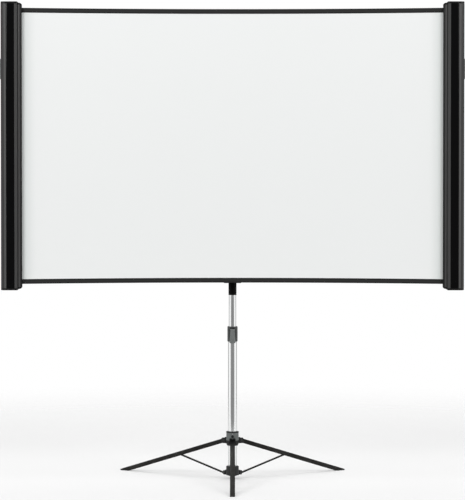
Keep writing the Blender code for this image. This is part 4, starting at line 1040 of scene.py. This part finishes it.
def make_bush_and_plug():
    """The bush at the upper tube's foot, and the plug in the lower tube's."""
    low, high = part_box("sliding_bush")
    bore = LOWER_RADIUS - TUBE_WALL - SEAM
    inner = UPPER_RADIUS - TUBE_WALL - SEAM
    levels = (low.z, UPPER_TUBE[0].z - SEAM, high.z)
    bush = stepped(levels, (bore, inner, inner - BUSH_WALL), 0.0004)
    piece("sliding_bush_moulding", bush, BLACK, "upper_mast", "sliding_bush")
    low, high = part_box("tube_plug")
    levels = (low.z, LOWER_TUBE[0].z - SEAM, high.z)
    plug = stepped(levels, (LOWER_RADIUS, bore, PLUG_HOLE), 0.0003)
    piece("tube_plug_moulding", plug, BLACK, "stand", "tube_plug")


def lock_tools():
    """What is cut from the lock: the bores, the lever's pocket, the pin's hole and the split behind."""
    low, high = LOCK
    return [
        rod((*MAST, low.z - ARM), (*MAST, LOCK_STEP), TUBE_SEAT, steps=96),
        rod((*MAST, LOCK_STEP - ARM), (*MAST, high.z + ARM), SLIDE_BORE, steps=96),
        slab(
            (-EYE_HALF - SEAM, low.y - ARM, EYE.z - POCKET_BELOW),
            (EYE_HALF + SEAM, EYE.y + EYE_RADIUS + SEAM, EYE.z + POCKET_ABOVE),
            soft=0.0012,
        ),
        rod((-ARM * 2, EYE.y, EYE.z), (ARM * 2, EYE.y, EYE.z), LEVER_PIN_HOLE, steps=32),
        slab(
            (-LOCK_SPLIT, MAST.y + UPPER_RADIUS * 0.8, low.z - ARM),
            (LOCK_SPLIT, MAST.y + ARM * 3, high.z + ARM),
        ),
    ]


def make_lock():
    """The flip lock's collar with the boss that holds the lever."""
    low, high = LOCK
    blank = turned([
        (LOCK_RADIUS - LOCK_EDGE, low.z),
        (LOCK_RADIUS, low.z + LOCK_EDGE),
        (LOCK_RADIUS, high.z - LOCK_EDGE),
        (LOCK_RADIUS - LOCK_EDGE, high.z),
        (SLIDE_BORE / 2, high.z),
        (SLIDE_BORE / 2, low.z),
    ], soft=0.0008)
    height = (low.z + BOSS_MARGIN, high.z - BOSS_MARGIN)
    boss = tablet((-BOSS_HALF, BOSS_HALF), height, (LOCK_EDGE, BOSS_ROUND), 6)
    boss = raised(boss, low.y, MAST.y - ARM, upright=True)
    softened(boss, 0.0009, 3, 50, on_face(1, low.y))
    collar = gathered(carved(blank, *lock_tools()), carved(boss, *lock_tools()))
    piece("lock_collar_moulding", collar, SOFT_BLACK, "stand", "lock_collar")
    pin_low, pin_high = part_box("lever_pin")
    pin = rod((pin_low.x, EYE.y, EYE.z), (pin_high.x, EYE.y, EYE.z), LEVER_PIN, steps=32, soft=0.0002)
    piece("lever_pin_steel", pin, STEEL, "stand", "lever_pin")


def make_lever():
    """The tongue on the lock's face: a tapered plate with finger grooves and an eye on its pin."""
    low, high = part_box("lock_lever")
    half = half_width("lock_lever")
    back = low.y + LEVER_THICKNESS
    plate = raised(outlined([
        (-half, low.z, LEVER_THICKNESS),
        (half, low.z, LEVER_THICKNESS),
        (LEVER_TOP_HALF, EYE.z, LEVER_THICKNESS),
        (-LEVER_TOP_HALF, EYE.z, LEVER_THICKNESS),
    ], 6), low.y, back, upright=True)
    softened(plate, 0.0012, 4, 50, on_face(1, low.y))
    reach, axis_y = half * 0.62, low.y - FINGER_PROUD
    grooves = [
        rod((-reach, axis_y, z), (reach, axis_y, z), FINGER_GROOVE, steps=24, soft=0.0004)
        for z in (low.z + FINGER_START + FINGER_PITCH * step for step in range(FINGER_GROOVES))
    ]
    plate = carved(plate, *grooves)
    eye = rod((-EYE_HALF, EYE.y, EYE.z), (EYE_HALF, EYE.y, EYE.z), EYE_RADIUS, steps=48, soft=0.0003)
    web_y = back - LEVER_THICKNESS / 2
    web = slab((-EYE_HALF, web_y, EYE.z - EYE_RADIUS), (EYE_HALF, EYE.y, EYE.z), 0.0003)
    piece("lock_lever_tongue", gathered(plate, eye, web), GREY, "lock_lever", "lock_lever")


make_tube("lower_tube", "stand", "bright")
make_tube("upper_tube", "upper_mast", "bright")
make_head()
make_bush_and_plug()
make_lock()
make_lever()


# Tripod, drawn in a leg's own frame: X outwards from the mast, Z up

DIRECTIONS = {"front": -90.0, "right": 30.0, "left": 150.0}
PIVOT_X = 0.036
LEG_HALF = 0.010
LONG_EDGE = 0.05
FORK_ROOT = 0.003  # from the lower tube's surface
HUB_RADIUS = 0.0255
HUB_PIVOT = Vector((PIVOT_X, 0, joint_place("hub_level").z))
HUB_FORK = {"slot_start": 0.0265, "inner_half": LEG_HALF + SEAM, "outer_half": 0.013, "rounding": 0.007}
HUB_FORK_REACH = 0.010  # past the pivot
FORK_BELOW, FORK_ABOVE = 0.012, 0.011
HUB_TAPER = 0.003
HUB_LIP = 0.0006
HUB_LIP_FOOT = 0.0055  # below the hub's top
HUB_LIP_START = 0.0045
HUB_EDGE = 0.0012
HUB_PIN = 0.002
PIN_END = 0.0012
PIN_END_RADIUS = 0.003
HUB_SCREW = 0.0026
HUB_SCREW_DROP = 0.0085
KNOB_GRIP = 0.008
KNOB_STEPS = 48
KNOB_FLUTE = 0.09
KNOB_STEM = 0.0022
COLLAR_RADIUS = 0.026
COLLAR_EDGE = 0.0015
COLLAR_PIVOT = Vector((PIVOT_X, 0, joint_place("strut_front_fold").z))
COLLAR_FORK = {"slot_start": 0.0305, "inner_half": 0.005 + SEAM, "outer_half": 0.0083, "rounding": 0.005}
COLLAR_FORK_REACH = 0.0055
COLLAR_FORK_ABOVE = 0.013
STRUT_PIVOT = Vector((MAST.y - joint_place("leg_front_fold").y, 0, joint_place("leg_front_fold").z))
STRUT_PIN = 0.0015
COLLAR_PIN_REACH = 0.0078
COLLAR_PIN_END = 0.0005
COLLAR_PIN_END_RADIUS = 0.0024


def outwards(bm, word):
    """A shape in a leg's own frame, put in that leg's direction."""
    turn = Matrix.Rotation(math.radians(DIRECTIONS[word]), 4, "Z")
    return moved(bm, Matrix.Translation((*MAST, 0)) @ turn)


def forks(reach, low, high, slot_start, inner_half, outer_half, rounding):
    """A fork for each leg: a root with two cheeks either side of a slot."""
    start = LOWER_RADIUS + FORK_ROOT
    shapes = []
    for word in DIRECTIONS:
        cheeks = []
        for side in (-1, 1):
            near, far = sorted((side * inner_half, side * outer_half))
            corners = [(start, low, 0), (reach, low, rounding), (reach, high, rounding), (start, high, 0)]
            cheeks.append(raised(outlined(corners), near, far, upright=True, soft=0.0006))
        root = slab((start, -outer_half, low), (slot_start, outer_half, high), 0.0006)
        shapes.append(outwards(gathered(root, *cheeks), word))
    return shapes


def make_hub():
    """The hub that slides on the lower tube, with a lip, a fork for each leg and a screw above its knob."""
    low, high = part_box("hub")
    fork_low, fork_high = HUB_PIVOT.z - FORK_BELOW, HUB_PIVOT.z + FORK_ABOVE
    ring = turned([
        (HUB_RADIUS - HUB_TAPER, low.z),
        (HUB_RADIUS, fork_low),
        (HUB_RADIUS, high.z - HUB_LIP_FOOT),
        (HUB_RADIUS + HUB_LIP, high.z - HUB_LIP_START),
        (HUB_RADIUS + HUB_LIP, high.z - HUB_EDGE),
        (HUB_RADIUS - HUB_EDGE, high.z),
        (TUBE_SEAT, high.z),
        (TUBE_SEAT, low.z),
    ], soft=0.0004)
    ears = forks(HUB_PIVOT.x + HUB_FORK_REACH, fork_low, fork_high, **HUB_FORK)
    piece("hub_moulding", gathered(ring, *ears), HUB_GREY, "hub", "hub")
    z, front = high.z - HUB_SCREW_DROP, MAST.y - HUB_RADIUS
    start, end = (0, front + 0.001, z), (0, front - PIN_HEAD, z)
    screw = rod(start, end, HUB_SCREW, HUB_SCREW - 0.0007, steps=32, soft=0.0003)
    piece("hub_screw", screw, STEEL, "hub")
    for word in DIRECTIONS:
        pin = outwards(cross_pin(HUB_PIVOT, HUB_PIN, HUB_FORK["outer_half"] + SEAM), word)
        piece(f"hub_pin_{word}_steel", pin, DARK_STEEL, "hub", f"hub_pin_{word}")


def cross_pin(pivot, radius, reach, head=PIN_END, head_radius=PIN_END_RADIUS):
    """A pin across a leg with a domed head at each end."""
    shapes = [rod((pivot.x, -reach, pivot.z), (pivot.x, reach, pivot.z), radius, steps=32)]
    for side in (-1, 1):
        start, end = (pivot.x, side * reach, pivot.z), (pivot.x, side * (reach + head), pivot.z)
        shapes.append(rod(start, end, head_radius, head_radius * 0.72, steps=40, soft=0.0004))
    return gathered(*shapes)


def make_knob():
    """A small knob with a fluted grip, on its stem."""
    low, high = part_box("hub_knob")
    z = (low.z + high.z) / 2
    radius = (high.z - low.z) / 2
    back = low.y + KNOB_GRIP
    grip = rod((0, low.y, z), (0, back, z), radius, steps=KNOB_STEPS)
    for vert in grip.verts:
        away = Vector((vert.co.x, 0, vert.co.z - z))
        turn = math.atan2(away.z, away.x) * KNOB_STEPS / (2 * math.pi)
        if round(turn) % 4 in (0, 1):
            vert.co -= away * KNOB_FLUTE
    softened(grip, 0.0005, 2, 50, on_face(1, low.y))
    stem = rod((0, back - 0.002, z), (0, high.y, z), KNOB_STEM, steps=24)
    piece("hub_knob_grip", gathered(grip, stem), BLACK, "hub_knob", "hub_knob")


def make_collar():
    """The collar at the mast's foot, with a fork and a pin for each strut."""
    low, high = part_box("lower_collar")
    ring = turned([
        (COLLAR_RADIUS, low.z),
        (COLLAR_RADIUS, high.z - COLLAR_EDGE),
        (COLLAR_RADIUS - COLLAR_EDGE, high.z),
        (TUBE_SEAT, high.z),
        (TUBE_SEAT, low.z),
    ], soft=0.0004)
    top = COLLAR_PIVOT.z + COLLAR_FORK_ABOVE
    ears = forks(COLLAR_PIVOT.x + COLLAR_FORK_REACH, low.z + SEAM, top, **COLLAR_FORK)
    piece("lower_collar_moulding", gathered(ring, *ears), BLACK, "stand", "lower_collar")
    for word in DIRECTIONS:
        pin = cross_pin(
            COLLAR_PIVOT, STRUT_PIN, COLLAR_PIN_REACH, COLLAR_PIN_END, COLLAR_PIN_END_RADIUS
        )
        piece(f"lower_collar_pin_{word}", outwards(pin, word), DARK_STEEL, "stand")


def long_edge(edge):
    return edge.calc_length() > LONG_EDGE


def make_legs():
    """The legs, feet and struts with their edges eased, and the rivets between them."""
    for word in DIRECTIONS:
        leg, foot, strut, rivet = (f"{node}_{word}" for node in ("leg", "foot", "strut", "strut_rivet"))
        piece(f"{leg}_channel", copied(leg, 0.0011, 3, long_edge), LEG, leg, leg)
        piece(f"{foot}_rubber", copied(foot, 0.0006), RUBBER, leg, foot)
        pin = outwards(cross_pin(STRUT_PIVOT, STRUT_PIN, LEG_HALF + SEAM), word)
        piece(f"{rivet}_steel", pin, DARK_STEEL, leg, rivet)
        piece(f"{strut}_bar", copied(strut, 0.0007, 2, long_edge), LEG, strut, strut)


make_hub()
make_knob()
make_collar()
make_legs()


# Stage, lights and camera

FLOOR_REACH = 4.2
FLOOR_DEPTH = 0.7  # the floor's strength over the white behind it
FLOOR_SOLID = 1.3
FLOOR_AHEAD = 0.95
FLOOR_FRONT = 0.55
AMBIENT = 0.5
WHITE_LIGHT = (1, 1, 1, 1)
GLOSS_STOPS = (
    (0.0, (0.29, 0.29, 0.29, 1)),
    (0.14, (0.30, 0.30, 0.30, 1)),
    (0.22, (1.15, 1.15, 1.15, 1)),
    (0.62, (1.15, 1.15, 1.15, 1)),
    (0.80, (0.40, 0.40, 0.40, 1)),
    (1.0, (0.36, 0.36, 0.36, 1)),
)
LAMPS = (
    ("key", (-4.7, -4.5, 4.1), (0, 0, 1.2), (3.0, 2.4), 200),
    ("fill", (4.9, -4.3, 3.9), (0, 0, 1.2), (3.0, 2.4), 175),
    ("overhead", (0, 0.9, 4.6), (0, 0.3, 0), (4.0, 4.0), 85),
)
LENS = 182.3
SHIFT = -0.1019
TILT = 1.37  # degrees below the horizon
CAMERA_DISTANCE = 10.4
EYE_HEIGHT = 1.400


def make_floor():
    """A pale floor that fades out into the white around it."""
    bm = bmesh.new()
    bmesh.ops.create_grid(bm, x_segments=1, y_segments=1, size=FLOOR_REACH)
    bmesh.ops.translate(bm, vec=(*MAST, 0), verts=bm.verts)
    floor = made("floor", bm)
    finish = Finish("floor_white", (0.93, 0.93, 0.93), 0.5, Specular_IOR_Level=0.3)
    finish.rough(0.45 + 0.1 * finish.noise(3.0))
    reach = finish.add("VectorMath", finish.add("TexCoord", out="Object"), out=1, operation="LENGTH")
    fade = finish.ramp(reach, FLOOR_REACH, FLOOR_SOLID)
    fade = fade * finish.ramp(finish.along("Y"), -FLOOR_AHEAD, -FLOOR_FRONT)
    finish.feed("Alpha", FLOOR_DEPTH * fade)
    floor.data.materials.append(finish.material)


def make_world():
    """White to the camera, a studio to gloss: grey ahead of the screen, bright beside it, paler behind."""
    world = bpy.data.worlds.new("studio")
    bpy.context.scene.world = world
    world.use_nodes = True
    tree = world.node_tree
    kinds = (
        "Background", "Background", "TexCoord", "SeparateXYZ", "Math",
        "ValToRGB", "LightPath", "Math", "MixShader", "MixShader",
    )
    nodes = [tree.nodes.new(f"ShaderNode{kind}") for kind in kinds]
    gloss, white, spot, parts, shift, ramp, rays, seen, first, second = nodes
    shade = tree.nodes["Background"]
    for background, strength in ((shade, AMBIENT), (white, 1.0)):
        background.inputs["Color"].default_value = WHITE_LIGHT
        background.inputs["Strength"].default_value = strength
    shift.operation = "MULTIPLY_ADD"
    shift.inputs[1].default_value = 0.5
    shift.inputs[2].default_value = 0.5
    seen.operation = "MAXIMUM"
    ramp.color_ramp.interpolation = "EASE"
    stops = ramp.color_ramp.elements
    stops[0].position, stops[0].color = GLOSS_STOPS[0]
    stops[1].position, stops[1].color = GLOSS_STOPS[-1]
    for position, colour in GLOSS_STOPS[1:-1]:
        stops.new(position).color = colour
    links = (
        (spot, "Generated", parts, 0),
        (parts, "Y", shift, 0),
        (shift, 0, ramp, 0),
        (ramp, 0, gloss, "Color"),
        (rays, "Is Glossy Ray", seen, 0),
        (rays, "Is Transmission Ray", seen, 1),
        (seen, 0, first, 0),
        (shade, 0, first, 1),
        (gloss, 0, first, 2),
        (rays, "Is Camera Ray", second, 0),
        (first, 0, second, 1),
        (white, 0, second, 2),
        (second, 0, tree.nodes["World Output"], "Surface"),
    )
    for source, output, target, socket in links:
        tree.links.new(source.outputs[output], target.inputs[socket])


def make_lamp(name, place, target, size, power):
    light = bpy.data.lights.new(name, "AREA")
    light.shape = "RECTANGLE"
    light.size, light.size_y = size
    light.energy = power
    obj = added(name, light)
    obj.location = place
    obj.rotation_euler = (Vector(target) - Vector(place)).to_track_quat("-Z", "Y").to_euler()


def make_camera():
    camera = bpy.data.cameras.new("camera")
    camera.sensor_width = 36
    camera.lens = LENS
    camera.shift_y = SHIFT
    camera.clip_end = 200
    obj = added("camera", camera)
    obj.location = (0, MAST.y - CAMERA_DISTANCE, EYE_HEIGHT)
    obj.rotation_euler = (math.radians(90 - TILT), 0, 0)
    bpy.context.scene.camera = obj


make_floor()
make_world()
for settings in LAMPS:
    make_lamp(*settings)
make_camera()
bpy.context.scene.view_settings.view_transform = "Standard"
